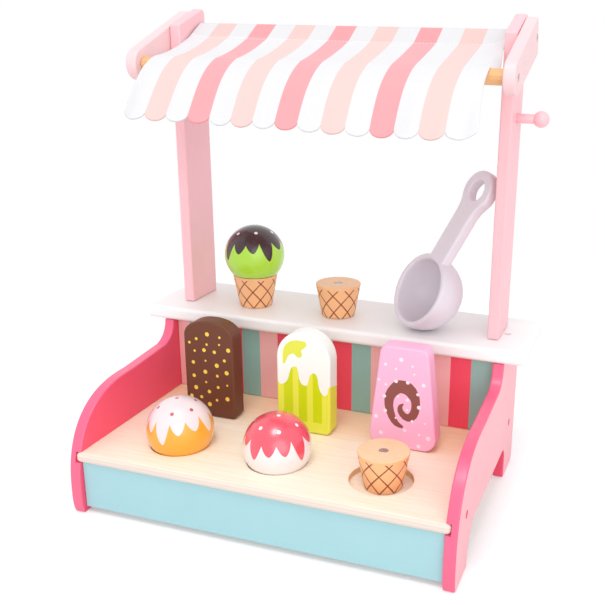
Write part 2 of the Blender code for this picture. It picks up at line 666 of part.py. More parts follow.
def build():
    for old in list(bpy.data.objects):
        bpy.data.objects.remove(old)

    light_pink = paint("light pink paint", (1.0, 0.56, 0.60), 0.45)
    white = paint("white paint", (0.93, 0.91, 0.90), 0.4)
    blue = paint("light blue paint", (0.43, 0.73, 0.79), 0.45)
    coral = paint("coral stripes", (0.86, 0.26, 0.26), 0.45)
    ply = paint("pale plywood", (0.90, 0.72, 0.50), 0.6)
    pine = paint("natural dowel", (0.95, 0.62, 0.33), 0.55)
    cloth = paint("striped cloth", (0.98, 0.74, 0.76), 0.85)
    wafer = paint("wafer tan", (0.98, 0.55, 0.25), 0.5)
    steel = paint("zinc plate", (0.75, 0.75, 0.76), 0.35, 1.0)
    green = paint("green paint", (0.42, 0.75, 0.04), 0.3)
    orange = paint("orange paint", (1.0, 0.40, 0.06), 0.3)
    red = paint("red paint", (0.80, 0.03, 0.07), 0.3)
    brown = paint("chocolate paint", (0.11, 0.03, 0.02), 0.35)
    yellow = paint("yellow paint", (0.86, 0.80, 0.10), 0.35)
    berry = paint("berry paint", (0.90, 0.32, 0.50), 0.35)
    lilac = paint("lilac grey plastic", (0.76, 0.70, 0.77), 0.35)

    sides = (("left", -1), ("right", 1))
    walls, posts, arms = {}, {}, {}
    for word, side in sides:
        walls[side] = make_wall(word + "_wall", side, light_pink)
        posts[side] = make_post(word + "_post", side, light_pink)
        arms[side] = make_arm(word + "_arm", side, light_pink)

    shelf = make_shelf(ply)
    counter = make_counter(white)
    front_face = FRONT + FRONT_BOARD_INSET
    add(
        "front_board",
        box(
            (-INNER_X + GAP, front_face, FRONT_BOARD_BOTTOM),
            (INNER_X - GAP, front_face + FRONT_BOARD_T, SHELF_BOTTOM - GAP),
        ),
        blue,
    )
    back_face = COUNTER_FRONT + BACK_BOARD_INSET
    add(
        "back_board",
        box(
            (-INNER_X + GAP, back_face, SHELF_TOP + GAP),
            (INNER_X - GAP, back_face + BACK_BOARD_T, COUNTER_UNDERSIDE - GAP),
        ),
        coral,
    )

    front_dowel = make_dowel("front_dowel", FRONT_DOWEL, FRONT_DOWEL_R, INNER_X - GAP, pine)
    rear_dowel = make_dowel("rear_dowel", REAR_DOWEL, REAR_DOWEL_R, POST_INNER_X - GAP, pine)
    combine(posts[1], make_peg(light_pink))
    make_canopy(cloth)

    shelf_middle = SHELF_TOP - SHELF_T / 2
    shelf_places = (
        ("front", FRONT + SHELF_SCREWS_FROM_FRONT),
        ("back", WALL_BACK - SHELF_SCREWS_FROM_BACK),
    )
    post_places = (("front", -POST_SCREW_PITCH / 2), ("back", POST_SCREW_PITCH / 2))
    post_x = (POST_INNER_X + POST_OUTER_X) / 2
    for word, side in sides:
        inward = (-side, 0, 0)
        for end, y in shelf_places:
            head = (side * OUTER_X, y, shelf_middle)
            held = (walls[side], shelf)
            drive_screw(f"{word}_{end}_shelf_screw", head, inward, SHORT_SCREW, held, steel)
        screw_x = INNER_X + COUNTER_SCREW_IN_WALL
        head = (side * screw_x, BACK - COUNTER_SCREW_FROM_BACK, COUNTER_TOP)
        held = (counter, walls[side])
        drive_screw(f"{word}_counter_screw", head, (0, 0, -1), SHORT_SCREW, held, steel)
        for end, shift in post_places:
            head = (side * post_x, POST_MIDDLE + shift, COUNTER_UNDERSIDE)
            held = (counter, posts[side])
            drive_screw(f"{word}_{end}_post_screw", head, (0, 0, 1), SHORT_SCREW, held, steel)
        head = (side * OUTER_X, *FRONT_DOWEL)
        held = (arms[side], front_dowel)
        drive_screw(f"{word}_front_dowel_screw", head, inward, SHORT_SCREW, held, steel)
        head = (side * OUTER_X, *REAR_DOWEL)
        held = (arms[side], posts[side], rear_dowel)
        drive_screw(f"{word}_rear_dowel_screw", head, inward, LONG_SCREW, held, steel)

    counter_seat = COUNTER_TOP + GAP
    recess_seat = RECESS_FLOOR + GAP
    make_cone("left_cone", (LEFT_CONE_X, CONES_Y, counter_seat), wafer, steel)
    make_cone("middle_cone", (MIDDLE_CONE_X, CONES_Y, counter_seat), wafer, steel)
    right_cone_x = RECESS_SHIFT + RECESS_PITCH + RIGHT_CONE_SHIFT
    make_cone("right_cone", (right_cone_x, RECESS_Y, recess_seat), wafer, steel)
    make_scoop("green_scoop", (LEFT_CONE_X, CONES_Y, counter_seat + CONE_H + GAP), green, steel)
    scoop_x, scoop_y = RECESS_SHIFT + SCOOP_SHIFT.x, RECESS_Y + SCOOP_SHIFT.y
    make_scoop("orange_scoop", (scoop_x - RECESS_PITCH, scoop_y, recess_seat), orange, steel)
    make_scoop("red_scoop", (scoop_x, scoop_y, recess_seat), red, steel)
    make_lolly("chocolate_lolly", chocolate_outline(), CHOCOLATE_X, brown)
    make_lolly("lime_lolly", lime_outline(), LIME_X, yellow)
    make_lolly("pink_lolly", pink_outline(), PINK_X, berry)
    make_ladle(lilac)


build()
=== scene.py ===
import json
import math

import bmesh
import bpy
from mathutils import Matrix, Vector, noise

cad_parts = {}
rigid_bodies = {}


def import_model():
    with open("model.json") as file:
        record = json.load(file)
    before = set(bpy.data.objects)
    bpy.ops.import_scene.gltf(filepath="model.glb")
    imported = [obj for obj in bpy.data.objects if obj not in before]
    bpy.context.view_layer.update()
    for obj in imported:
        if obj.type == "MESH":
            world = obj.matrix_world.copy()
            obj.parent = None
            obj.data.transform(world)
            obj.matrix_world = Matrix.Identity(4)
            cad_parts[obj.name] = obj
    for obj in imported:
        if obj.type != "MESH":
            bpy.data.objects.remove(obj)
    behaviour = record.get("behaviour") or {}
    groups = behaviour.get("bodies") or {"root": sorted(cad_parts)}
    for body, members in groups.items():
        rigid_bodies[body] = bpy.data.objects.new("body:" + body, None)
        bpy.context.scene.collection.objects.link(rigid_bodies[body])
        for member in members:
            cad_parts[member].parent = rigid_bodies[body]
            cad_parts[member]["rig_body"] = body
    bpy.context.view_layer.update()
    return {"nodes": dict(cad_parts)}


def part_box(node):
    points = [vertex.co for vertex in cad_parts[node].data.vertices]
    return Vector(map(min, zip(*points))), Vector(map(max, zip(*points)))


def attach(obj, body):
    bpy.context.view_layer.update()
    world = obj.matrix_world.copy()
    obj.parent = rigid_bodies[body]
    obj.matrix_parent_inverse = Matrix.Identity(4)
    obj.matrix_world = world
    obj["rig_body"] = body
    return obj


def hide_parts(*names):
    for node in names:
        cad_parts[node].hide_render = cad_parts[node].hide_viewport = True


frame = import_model()
print("frame loaded")

mm = 0.001  # pieces are modelled in millimetres and shrunk to metres when they are finished
sides = (("left", -1), ("right", 1))
bodyOf = {node: made["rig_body"] for node, made in frame["nodes"].items()}


# colours and shader nodes: each helper works in the node tree of the sockets it is given

def rgb(red, green, blue):
    levels = [level / 255 for level in (red, green, blue)]
    return (*[v / 12.92 if v <= 0.04045 else ((v + 0.055) / 1.055) ** 2.4 for v in levels], 1.0)


def treeOf(values):
    return next(value.id_data for value in values if isinstance(value, bpy.types.NodeSocket))


def feed(made, values):
    for socket, value in values.items():
        if isinstance(value, bpy.types.NodeSocket):
            made.id_data.links.new(value, made.inputs[socket])
        else:
            made.inputs[socket].default_value = value


def add(kind, inputs, output=0, tree=None, **settings):
    made = (tree or treeOf(inputs.values())).nodes.new("ShaderNode" + kind)
    for name, value in settings.items():
        setattr(made, name, value)
    feed(made, inputs)
    return made.outputs[output]


def calc(operation, *values):
    return add("Math", dict(enumerate(values)), operation=operation)


def plus(first, second):
    return calc("ADD", first, second)


def minus(first, second):
    return calc("SUBTRACT", first, second)


def times(first, second):
    return calc("MULTIPLY", first, second)


def vector(operation, *values, output=0):
    return add("VectorMath", dict(enumerate(values)), output, operation=operation)


def mixColour(factor, first, second, mode="MIX"):
    return add("Mix", {0: factor, 6: first, 7: second}, 2, data_type="RGBA", blend_type=mode)


def grey(level):
    return add("CombineColor", {0: level, 1: level, 2: level})


def spread(value, low, high, start=0.0, end=1.0):
    return add("MapRange", {0: value, 1: low, 2: high, 3: start, 4: end})


def noiseAt(point, scale, detail=2.0, rough=0.5):
    return add("TexNoise", {"Vector": point, "Scale": scale, "Detail": detail, "Roughness": rough})


def split(point):
    made = point.id_data.nodes.new("ShaderNodeSeparateXYZ")
    feed(made, {0: point})
    return made.outputs


def curveOf(value, points):
    # a drawn curve from 0 to 1
    made = value.id_data.nodes.new("ShaderNodeFloatCurve")
    line = made.mapping.curves[0]
    line.points[0].location = points[0]
    line.points[1].location = points[-1]
    for x, y in points[1:-1]:
        line.points.new(x, y)
    made.mapping.update()
    feed(made, {1: value})
    return made.outputs[0]


def newGroup(name, draw, vectors, floats, outputs):
    # draw makes the group's nodes from its inputs, and gives one value for each output
    tree = bpy.data.node_groups.new(name, "ShaderNodeTree")
    for kind, way, labels in (("Vector", "INPUT", vectors), ("Float", "INPUT", floats), ("Float", "OUTPUT", outputs)):
        for label in labels.split():
            tree.interface.new_socket(name=label, in_out=way, socket_type="NodeSocket" + kind)
    given, out = tree.nodes.new("NodeGroupInput"), tree.nodes.new("NodeGroupOutput")
    feed(out, dict(zip(outputs.split(), draw(given.outputs))))
    return tree


def useGroup(group, **inputs):
    made = treeOf(inputs.values()).nodes.new("ShaderNodeGroup")
    made.node_tree = group
    feed(made, inputs)
    return made.outputs


def drawSkin(given):
    # brushed satin paint over wood: long streaks of the grain, a little orange peel, slow changes of shade
    streaks = noiseAt(vector("MULTIPLY", given["Point"], given["Grain"]), 0.9, 4.0, 0.6)
    peel = noiseAt(given["Point"], 0.8, 1.0)
    cloud = noiseAt(given["Point"], 0.028)
    return plus(times(streaks, 0.6), times(cloud, 0.4)), plus(times(streaks, 0.7), times(peel, 0.3)), peel


def drawGrain(given):
    # fine-pored pale wood: broad bands, fine streaks and short dark pores along the grain
    point = vector("MULTIPLY", given["Point"], given["Grain"])
    bent = vector("ADD", point, add("CombineXYZ", {1: times(noiseAt(point, 0.35), 2.2)}))
    bands = noiseAt(bent, 0.55, 2.0, 0.55)
    fine = noiseAt(bent, 3.2, 4.0, 0.65)
    pores = spread(noiseAt(bent, 7.0, 1.0), 0.66, 0.74)
    return plus(times(bands, 0.6), times(fine, 0.4)), fine, pores


def drawWeave(given):
    # plain weave of fine cotton, on the cloth's own flat millimetres
    waves = [calc("SINE", times(part, 2 * math.pi / 0.8)) for part in split(given["Point"])[:2]]
    relief = calc("MULTIPLY_ADD", times(*waves), 0.5, 0.5)
    warp, weft = [noiseAt(vector("MULTIPLY", given["Point"], run), 1.0) for run in ((1.6, 0.02, 1), (0.02, 1.6, 1))]
    return times(plus(warp, weft), 0.5), relief


def drawSpot(given):
    # the distance to the nearest of several round spots, below zero inside one
    away = minus(vector("DISTANCE", given["Point"], given["Centre"], output=1), given["Radius"])
    return [calc("MINIMUM", given["Nearest"], away)]


def drawStroke(given):
    # the distance to a brush stroke between two points, with its own width at each end
    way, gone = [vector("SUBTRACT", given[label], given["Start"]) for label in ("End", "Point")]
    done, whole = [vector("DOT_PRODUCT", line, way, output=1) for line in (gone, way)]
    share = add("Math", {0: done, 1: whole}, operation="DIVIDE", use_clamp=True)
    onLine = add("VectorMath", {0: way, 3: share}, operation="SCALE")
    width = spread(share, 0.0, 1.0, given["Wide"], given["WideEnd"])
    return [calc("MINIMUM", given["Nearest"], minus(vector("DISTANCE", gone, onLine, output=1), width))]


def drawDrip(given):
    # the height of a coating's edge round one drip: a rounded tip that widens up to the notches beside it
    gone = calc("WRAP", minus(given["Direction"], given["Tip"]), 180.0, -180.0)
    isLeft = calc("LESS_THAN", gone, 0.0)
    width, rise = [spread(isLeft, 0.0, 1.0, given[part + "Right"], given[part + "Left"]) for part in ("Span", "Rise")]
    share = calc("DIVIDE", calc("ABSOLUTE", gone), width)
    return [calc("MINIMUM", given["Nearest"], calc("MULTIPLY_ADD", rise, calc("POWER", share, 1.7), given["Low"]))]


paintSkin = newGroup("paintSkin", drawSkin, "Point Grain", "", "Shade Relief Gloss")
woodGrain = newGroup("woodGrain", drawGrain, "Point Grain", "", "Shade Relief Pores")
clothWeave = newGroup("clothWeave", drawWeave, "Point", "", "Shade Relief")
spot = newGroup("spot", drawSpot, "Point Centre", "Radius Nearest", "Nearest")
stroke = newGroup("stroke", drawStroke, "Point Start End", "Wide WideEnd Nearest", "Nearest")
drip = newGroup("drip", drawDrip, "", "Direction Tip Low SpanLeft RiseLeft SpanRight RiseRight Nearest", "Nearest")
farAway = 99.0


def painted(nearest, soft=0.08):
    return spread(nearest, soft, -soft)


def spots(point, places):
    # round dots, each given as (x, z, radius) on a flat face or (x, y, z, radius)
    nearest = farAway
    for *centre, radius in places:
        centre = centre if len(centre) == 3 else (centre[0], 0.0, centre[1])
        nearest = useGroup(spot, Point=point, Centre=centre, Radius=radius, Nearest=nearest)[0]
    return painted(nearest)


def strokes(point, places):
    # a brush line through (x, z, width) places, with one more between each two, on the curve through them
    ends = places[:1] + places + places[-1:]
    finer = []
    for before, first, last, after in zip(ends, ends[1:], ends[2:], ends[3:]):
        finer += [first, tuple((9 * (b + c) - a - d) / 16 for a, b, c, d in zip(before, first, last, after))]
    finer.append(places[-1])
    nearest = farAway
    for (x, z, wide), (xEnd, zEnd, wideEnd) in zip(finer, finer[1:]):
        nearest = useGroup(
            stroke, Point=point, Start=(x, 0.0, z), End=(xEnd, 0.0, zEnd), Wide=wide, WideEnd=wideEnd,
            Nearest=nearest,
        )[0]
    return painted(nearest)


def startMaterial(name, centre=(0, 0, 0), roughness=0.4, **sockets):
    # a Principled material and the piece's own point in millimetres, measured from centre
    material = bpy.data.materials.new(name)
    material.use_nodes = True
    shader = material.node_tree.nodes["Principled BSDF"]
    feed(shader, {"Roughness": roughness} | {label.replace("_", " "): value for label, value in sockets.items()})
    place = add("TexCoord", {}, 3, material.node_tree)
    return material, shader, add("Mapping", {0: place, 1: tuple(-value for value in centre), 3: (1 / mm,) * 3})


def surface(shader, base, roughness, height, depth, strength=1.0):
    bump = add("Bump", {"Height": height, "Distance": depth, "Strength": strength})
    feed(shader, {"Base Color": base, "Roughness": roughness, "Normal": bump})


def paint(name, colour, centre=(0, 0, 0), grain=(1, 1, 0.05), roughness=0.38, tint=0.08, relief=0.00002, **sockets):
    # colour is one colour, or a function that draws the painted pattern at a point
    material, shader, point = startMaterial(name, centre, roughness, **sockets)
    skin = useGroup(paintSkin, Point=point, Grain=grain)
    base = colour(point) if callable(colour) else colour
    base = mixColour(1.0, base, grey(spread(skin["Shade"], 0.3, 0.7, 1 - tint, 1.0)), "MULTIPLY")
    gloss = spread(skin["Gloss"], 0.3, 0.7, roughness - 0.05, roughness + 0.06)
    surface(shader, base, gloss, skin["Relief"], relief)
    return material


def wood(name, pale, dark, centre=(0, 0, 0), grain=(0.04, 1, 1), roughness=0.5, plies=None, warmShade=None):
    # plies is for the layers on plywood's edges; the next argument paints a warm shade that darkens the wood towards
    # the back, where the lollies and walls shade it and tint it
    material, shader, point = startMaterial(name, centre, roughness)
    figure = useGroup(woodGrain, Point=point, Grain=grain)
    base = mixColour(spread(figure["Shade"], 0.36, 0.66), pale, dark)
    base = mixColour(times(figure["Pores"], 0.35), base, dark, "MULTIPLY")
    # painted warm shade: the wood is multiplied by a warm tone from the given depth backwards
    if warmShade:
        base = mixColour(spread(split(point)[1], warmShade["from"], warmShade["to"]), base, warmShade["tone"], "MULTIPLY")
    if plies:
        layer = calc("PINGPONG", plus(split(point)[2], plies["start"]), plies["thickness"])
        line = spread(layer, plies["thickness"] * 0.45, plies["thickness"] * 0.75)
        side = mixColour(0.25, mixColour(line, plies["pale"], plies["dark"]), base, "MULTIPLY")
        upward = calc("ABSOLUTE", split(add("TexCoord", {}, 1, point.id_data))[2])
        base = mixColour(spread(upward, 0.96, 0.82), base, side)
    gloss = spread(figure["Relief"], 0.3, 0.7, roughness - 0.06, roughness + 0.08)
    surface(shader, base, gloss, figure["Relief"], 0.00003)
    return material


def metal(name, colour, worn, roughness):
    material, shader, point = startMaterial(name, roughness=roughness, Metallic=1.0)
    wear = noiseAt(point, 0.9, 3.0)
    gloss = spread(wear, 0.3, 0.7, roughness - 0.08, roughness + 0.14)
    surface(shader, mixColour(spread(wear, 0.35, 0.7), colour, worn), gloss, wear, 0.00002)
    return material


# shapes

def arc(centre, radii, start, end, steps=12, power=2.0):
    points = []
    for step in range(steps + 1):
        angle = math.radians(start + (end - start) * step / steps)
        across, up = math.cos(angle), math.sin(angle)
        points.append((
            centre[0] + radii[0] * math.copysign(abs(across) ** (2 / power), across),
            centre[1] + radii[1] * math.copysign(abs(up) ** (2 / power), up),
        ))
    return points


def roundArc(centre, radius, start, end, steps):
    return arc(centre, (radius, radius), start, end, steps)


def roundCorners(corners, steps=8):
    # the outline through (a, b, radius) corners
    points = []
    for before, corner, after in zip(corners[-1:] + corners[:-1], corners, corners[1:] + corners[:1]):
        here, radius = Vector(corner[:2]), corner[2]
        if not radius:
            points.append(tuple(here))
            continue
        back, on = (Vector(before[:2]) - here).normalized(), (Vector(after[:2]) - here).normalized()
        half = back.angle(on) / 2
        middle = here + (back + on).normalized() * radius / math.sin(half)
        spoke = here + back * radius / math.tan(half) - middle
        swing = math.copysign(math.pi - 2 * half, -back.cross(on))
        points += [tuple(middle + Matrix.Rotation(swing * step / steps, 2) @ spoke) for step in range(steps + 1)]
    return points


def bevel(bm, edges, width, segments):
    bmesh.ops.bevel(
        bm, geom=edges, offset=width, offset_type="OFFSET", segments=segments, profile=0.5,
        affect="EDGES", material=-1, clamp_overlap=True,
    )


def onAxis(axis, a, b, along):
    return {"X": (along, a, b), "Y": (a, along, b), "Z": (a, b, along)}[axis]


def slab(outline, axis, low, high, rounding=0.0, segments=3):
    bm = bmesh.new()
    face = bm.faces.new([bm.verts.new(onAxis(axis, a, b, low)) for a, b in outline])
    grown = bmesh.ops.extrude_face_region(bm, geom=[face])["geom"]
    moved = [item for item in grown if isinstance(item, bmesh.types.BMVert)]
    bmesh.ops.translate(bm, vec=onAxis(axis, 0, 0, high - low), verts=moved)
    bmesh.ops.recalc_face_normals(bm, faces=bm.faces)
    if rounding:
        sharp = [edge for edge in bm.edges if edge.is_manifold and edge.calc_face_angle() > math.radians(40)]
        bevel(bm, sharp, rounding, segments)
    return bm


def turned(profile, steps):
    # spun round Z from (radius, height) points
    bm = bmesh.new()
    line = [bm.verts.new((radius, 0, height)) for radius, height in profile]
    edges = [bm.edges.new(pair) for pair in zip(line, line[1:])]
    bmesh.ops.spin(bm, geom=line + edges, axis=(0, 0, 1), angle=2 * math.pi, steps=steps, use_merge=True)
    bmesh.ops.remove_doubles(bm, verts=bm.verts, dist=0.001)
    bmesh.ops.recalc_face_normals(bm, faces=bm.faces)
    return bm


def turn(degrees, axis):
    return Matrix.Rotation(math.radians(degrees), 4, axis)


def move(bm, place, rotation=Matrix()):
    bmesh.ops.transform(bm, matrix=Matrix.Translation(place) @ rotation, verts=bm.verts)
    return bm


def merged(shapes):
    bm = bmesh.new()
    for shape in shapes:
        mesh = bpy.data.meshes.new("part")
        shape.to_mesh(mesh)
        shape.free()
        bm.from_mesh(mesh)
        bpy.data.meshes.remove(mesh)
    return bm


def asObject(name, bm):
    mesh = bpy.data.meshes.new(name)
    bm.to_mesh(mesh)
    bm.free()
    made = bpy.data.objects.new(name, mesh)
    bpy.context.scene.collection.objects.link(made)
    return made


def evaluated(made):
    bm = bmesh.new()
    bm.from_object(made, bpy.context.evaluated_depsgraph_get())
    return bm


def carve(bm, cutter, operation="DIFFERENCE"):
    # joins or cuts two closed shapes, and gives back the result
    solid, tool = asObject("solid", bm), asObject("tool", cutter)
    boolean = solid.modifiers.new("carve", "BOOLEAN")
    boolean.operation, boolean.solver, boolean.object = operation, "EXACT", tool
    result = evaluated(solid)
    for used in (solid, tool):
        bpy.data.meshes.remove(used.data)
    return result


def camel(node):
    first, *rest = node.split("_")
    return first + "".join(word.capitalize() for word in rest)


def finish(bm, materials, node, name=None, flat=True, sharp=38, pick=None, replaces=True):
    # makes the piece that stands for a CAD node, or a detail beside it
    # pick gives each face the number of its material
    bmesh.ops.remove_doubles(bm, verts=bm.verts, dist=0.002)
    if pick:
        for face in bm.faces:
            face.material_index = pick(face)
    bmesh.ops.scale(bm, vec=(mm, mm, mm), verts=bm.verts)
    piece = asObject(name or camel(node), bm)
    piece.data.shade_smooth()
    piece.data.set_sharp_from_angle(angle=math.radians(sharp))
    for material in materials:
        piece.data.materials.append(material)
    if flat:
        piece.modifiers.new("flat faces", "WEIGHTED_NORMAL").keep_sharp = True
    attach(piece, bodyOf[node])
    if replaces:
        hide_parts(node)
    return piece


def corners(node):
    return [[round(value / mm, 3) for value in corner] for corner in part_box(node)]


def boardOf(node, rounding=0.0, segments=3, frontR=0.0, backR=0.0, steps=8):
    # a board that fills its node's box, with rounded corners as seen from above
    low, high = corners(node)
    outline = roundCorners([
        (low[0], low[1], frontR), (high[0], low[1], frontR), (high[0], high[1], backR), (low[0], high[1], backR),
    ], steps)
    return slab(outline, "Z", low[2], high[2], rounding, segments)


# screws: countersunk, with a cross recess; their holes are drilled in the boards below

stand = {
    "front": -117.25, "back": 117.25, "inner": 150.0, "outer": 159.5, "postOuter": 149.7, "postInner": 139.9,
    "postMiddle": 70.95, "counterTop": 132.6, "counterUnder": 120.4, "shelfTop": 53.2, "shelfUnder": 45.2,
    "wallBack": 100.05,
}
frontDowel, rearDowel = Vector((9.921, 348.109)), Vector((83.45, 375.6))
screw = {
    "head": 3.0, "shank": 1.5, "rim": 0.5, "edge": 0.25, "sink": 0.4, "point": 3.0, "spare": 0.3,
    "cross": 3.4, "slot": 0.9, "deep": 1.3, "taper": 0.6,
    "inCounter": 154.2, "inPost": 144.8, "apart": 12.0, "fromEnd": 28.0, "fromBack": 48.0,
}
screws = {}
for word, side in sides:
    inward, down, up = (-side, 0, 0), (0, 0, -1), (0, 0, 1)
    inShelf = (stand["shelfTop"] + stand["shelfUnder"]) / 2
    for part, out, y, z, way, length, crossAt in (
        ("front_shelf", stand["outer"], stand["front"] + screw["fromEnd"], inShelf, inward, 30, 35),
        ("back_shelf", stand["outer"], stand["wallBack"] - screw["fromEnd"], inShelf, inward, 30, 10),
        ("counter", screw["inCounter"], stand["back"] - screw["fromBack"], stand["counterTop"], down, 30, 15),
        ("front_post", screw["inPost"], stand["postMiddle"] - screw["apart"], stand["counterUnder"], up, 30, 50),
        ("back_post", screw["inPost"], stand["postMiddle"] + screw["apart"], stand["counterUnder"], up, 30, 5),
        ("front_dowel", stand["outer"], *frontDowel, inward, 30, 28),
        ("rear_dowel", stand["outer"], *rearDowel, inward, 45, -18),
    ):
        place = Vector((side * out, y, z)) + screw["sink"] * Vector(way)
        lie = Vector(way).to_track_quat("Z", "Y").to_matrix().to_4x4() @ turn(crossAt, "Z")
        screws[f"{word}_{part}_screw"] = (length, place, lie)


def screwShape(length, spare=0.0):
    # a screw, or the hole for it where there is something to spare round it
    head, shank, rim = screw["head"] + spare, screw["shank"] + spare, screw["rim"]
    top, edge = (-4 * spare, 0.0) if spare else (0.0, screw["edge"])
    shape = turned([
        (0, top), (head - edge, top), (head, top + 0.6 * edge), (head, rim), (shank, rim + head - shank),
        (shank, length - screw["point"] + spare), (0, length + spare),
    ], 24)
    crosses = () if spare else ((screw["cross"], screw["slot"]), (screw["slot"], screw["cross"]))
    for long, wide in crosses:
        cut = bmesh.new()
        bmesh.ops.create_cube(cut, size=1.0)
        bmesh.ops.scale(cut, vec=(long, wide, 2 * screw["deep"]), verts=cut.verts)
        low = [vert for vert in cut.verts if vert.co.z > 0]
        bmesh.ops.scale(cut, vec=(screw["taper"], screw["taper"], 1), verts=low)
        shape = carve(shape, cut)
    return shape


def drill(bm, words, parts):
    driven = [screws[f"{word}_{part}_screw"] for word in words.split() for part in parts.split()]
    return carve(bm, merged([move(screwShape(length, screw["spare"]), place, lie) for length, place, lie in driven]))


# finishes

pinkPaint = paint("pinkPaint", rgb(252, 196, 202), roughness=0.4)
armPaint = paint("armPaint", rgb(247, 209, 211), grain=(1, 0.06, 1), roughness=0.4)
wallOutside = paint("wallOutside", rgb(254, 180, 187))
wallInside = paint("wallInside", rgb(255, 90, 120), roughness=0.42, tint=0.05, Specular_IOR_Level=0.35)
wallEdge = paint(
    "wallEdge", rgb(247, 99, 137), grain=(2.5, 0.08, 0.05), roughness=0.33, tint=0.14,
    Coat_Weight=0.5, Coat_Roughness=0.3,
)
whitePaint = paint("whitePaint", rgb(248, 246, 245), grain=(0.05, 1, 1), roughness=0.42, tint=0.03)
bluePaint = paint("bluePaint", rgb(165, 207, 213), grain=(0.05, 1, 1), roughness=0.45, tint=0.04)
# the shelf's wood gets painted warm shade behind the lollies, towards the back
shelfWood = wood(
    "shelfWood", rgb(252, 243, 226), rgb(248, 230, 205), grain=(0.035, 1, 1),
    plies={"start": 0.4, "thickness": 1.3, "pale": rgb(230, 218, 210), "dark": rgb(225, 210, 200)},
    warmShade={"from": -30.0, "to": 2.0, "tone": (1.0, 0.86, 0.70, 1.0)},
)
# bare wood with painted shade: a darker, warmer tan for the shaded sides of the recesses
recessShadeWood = wood("recessShadeWood", rgb(236, 204, 160), rgb(224, 186, 138), grain=(0.035, 1, 1), roughness=0.6)
dowelWood = wood("dowelWood", rgb(241, 194, 140), rgb(226, 168, 110))
zinc = metal("zinc", rgb(205, 202, 200), rgb(150, 146, 142), 0.32)
paleScrew = paint("paleScrew", rgb(236, 224, 224), roughness=0.35)
pinkScrew = paint("pinkScrew", rgb(238, 92, 132), roughness=0.35)
print("finishes ready")


# walls

wall = {
    "noseLength": 80.5, "noseZ": 16.0, "nosePower": 2.6, "ledgeFront": 97.0, "ledgeBack": 100.6, "top": 120.1,
    "upright": 29.05, "toe": 3.5, "frontFoot": 36.5, "backFoot": 40.3, "arch": 31.0, "archFront": 20.0,
    "archBack": 12.0, "heel": 6.0, "groove": 4.5, "grooveEnd": 99.05, "rounding": 1.5, "play": 0.3, "past": 9.0,
}
archStart, archEnd = stand["front"] + wall["frontFoot"], stand["wallBack"] - wall["backFoot"]


def wallOutline():
    front, back = stand["front"], stand["wallBack"]
    fillet, heel, archBack = wall["top"] - wall["ledgeBack"], wall["heel"], wall["archBack"]
    nose = (wall["noseLength"], wall["ledgeFront"] - wall["noseZ"])
    outline = [(back, wall["top"])]
    outline += roundArc((wall["upright"] - fillet, wall["ledgeBack"] + fillet), fillet, 0, -90, 14)
    outline += arc((front + wall["noseLength"], wall["noseZ"]), nose, 90, 180, 48, wall["nosePower"])
    outline += arc((front + wall["toe"], wall["noseZ"]), (wall["toe"], wall["noseZ"]), 180, 270, 12)[1:]
    outline += arc((archStart + wall["archFront"], 0), (wall["archFront"], wall["arch"]), 180, 90, 20)
    outline += roundArc((archEnd - archBack, wall["arch"] - archBack), archBack, 90, 0, 12)
    outline += [(archEnd, 0)]
    return outline + roundArc((back - heel, heel), heel, 270, 360, 8)


def wallFinish(face):
    # the edge, the outer face or the inner face; the arch's edge takes the inner face's deep pink as painted shade,
    # for the red light reflected into the shaded arch
    x, y, z = face.calc_center_median()
    if abs(face.normal.x) < 0.88:
        # painted shade: the arch's edge faces get the inner face's deep pink
        return 2 if z < wall["arch"] + 0.5 and archStart - 0.5 < y < archEnd + 0.5 else 0
    return 1 if face.normal.x * x > 0 else 2


for word, side in sides:
    board = slab(wallOutline(), "X", *sorted((side * stand["inner"], side * stand["outer"])), wall["rounding"], 4)
    near, far = sorted((side * (stand["inner"] - wall["past"]), side * (stand["inner"] + wall["groove"])))
    start, end = stand["front"] - wall["past"], wall["grooveEnd"]
    groove = [(near, start), (far, start), (far, end), (near, end)]
    board = carve(board, slab(groove, "Z", stand["shelfUnder"] - wall["play"], stand["shelfTop"] + wall["play"]))
    board = drill(board, word, "front_shelf back_shelf counter")
    finish(board, [wallEdge, wallOutside, wallInside], word + "_wall", pick=wallFinish)
print("walls done")


# shelf, front board, striped board and counter

shelf = {"cornerR": 4.0, "nose": 3.0, "recessFloor": 48.2, "recessY": -69.75, "rim": 0.1}
recesses = {-85.6: 24.16, 1.2: 24.16, 88.0: 25.06}  # place across and radius
board = boardOf("shelf", frontR=shelf["cornerR"], steps=6)
cornerEnd = corners("shelf")[0][1] + shelf["cornerR"] + 0.1
frontEdges = [
    edge for edge in board.edges
    if abs(edge.verts[0].co.z - edge.verts[1].co.z) < 0.1 and max(vert.co.y for vert in edge.verts) < cornerEnd
]
bevel(board, frontEdges, shelf["nose"], 6)
cutters = []
for x, radius in recesses.items():
    floor, top, rim = shelf["recessFloor"], stand["shelfTop"], shelf["rim"]
    profile = [
        (0, floor), (radius, floor), (radius, top - rim), (radius + rim, top + 0.01), (radius + rim, 60), (0, 60),
    ]
    cutters.append(move(turned(profile, 96), (x, shelf["recessY"], 0)))
board = drill(carve(board, merged(cutters)), "left right", "front_shelf back_shelf")


def shelfFinish(face):
    # the recesses' sides are bare wood, painted a darker, warmer tan as shade inside the recesses
    x, y, z = face.calc_center_median()
    inRecess = any(math.hypot(x - middle, y - shelf["recessY"]) < radius + 0.6 for middle, radius in recesses.items())
    return 1 if abs(face.normal.z) < 0.5 and inRecess and z > shelf["recessFloor"] else 0


finish(board, [shelfWood, recessShadeWood], "shelf", "shelfBoard", pick=shelfFinish)
finish(boardOf("front_board", 0.5), [bluePaint], "front_board", "frontPanel")

stripes = {
    "start": -137.16, "width": 17.85,
    "teal": rgb(150, 196, 188), "coral": rgb(255, 194, 194), "red": rgb(252, 80, 106),
}


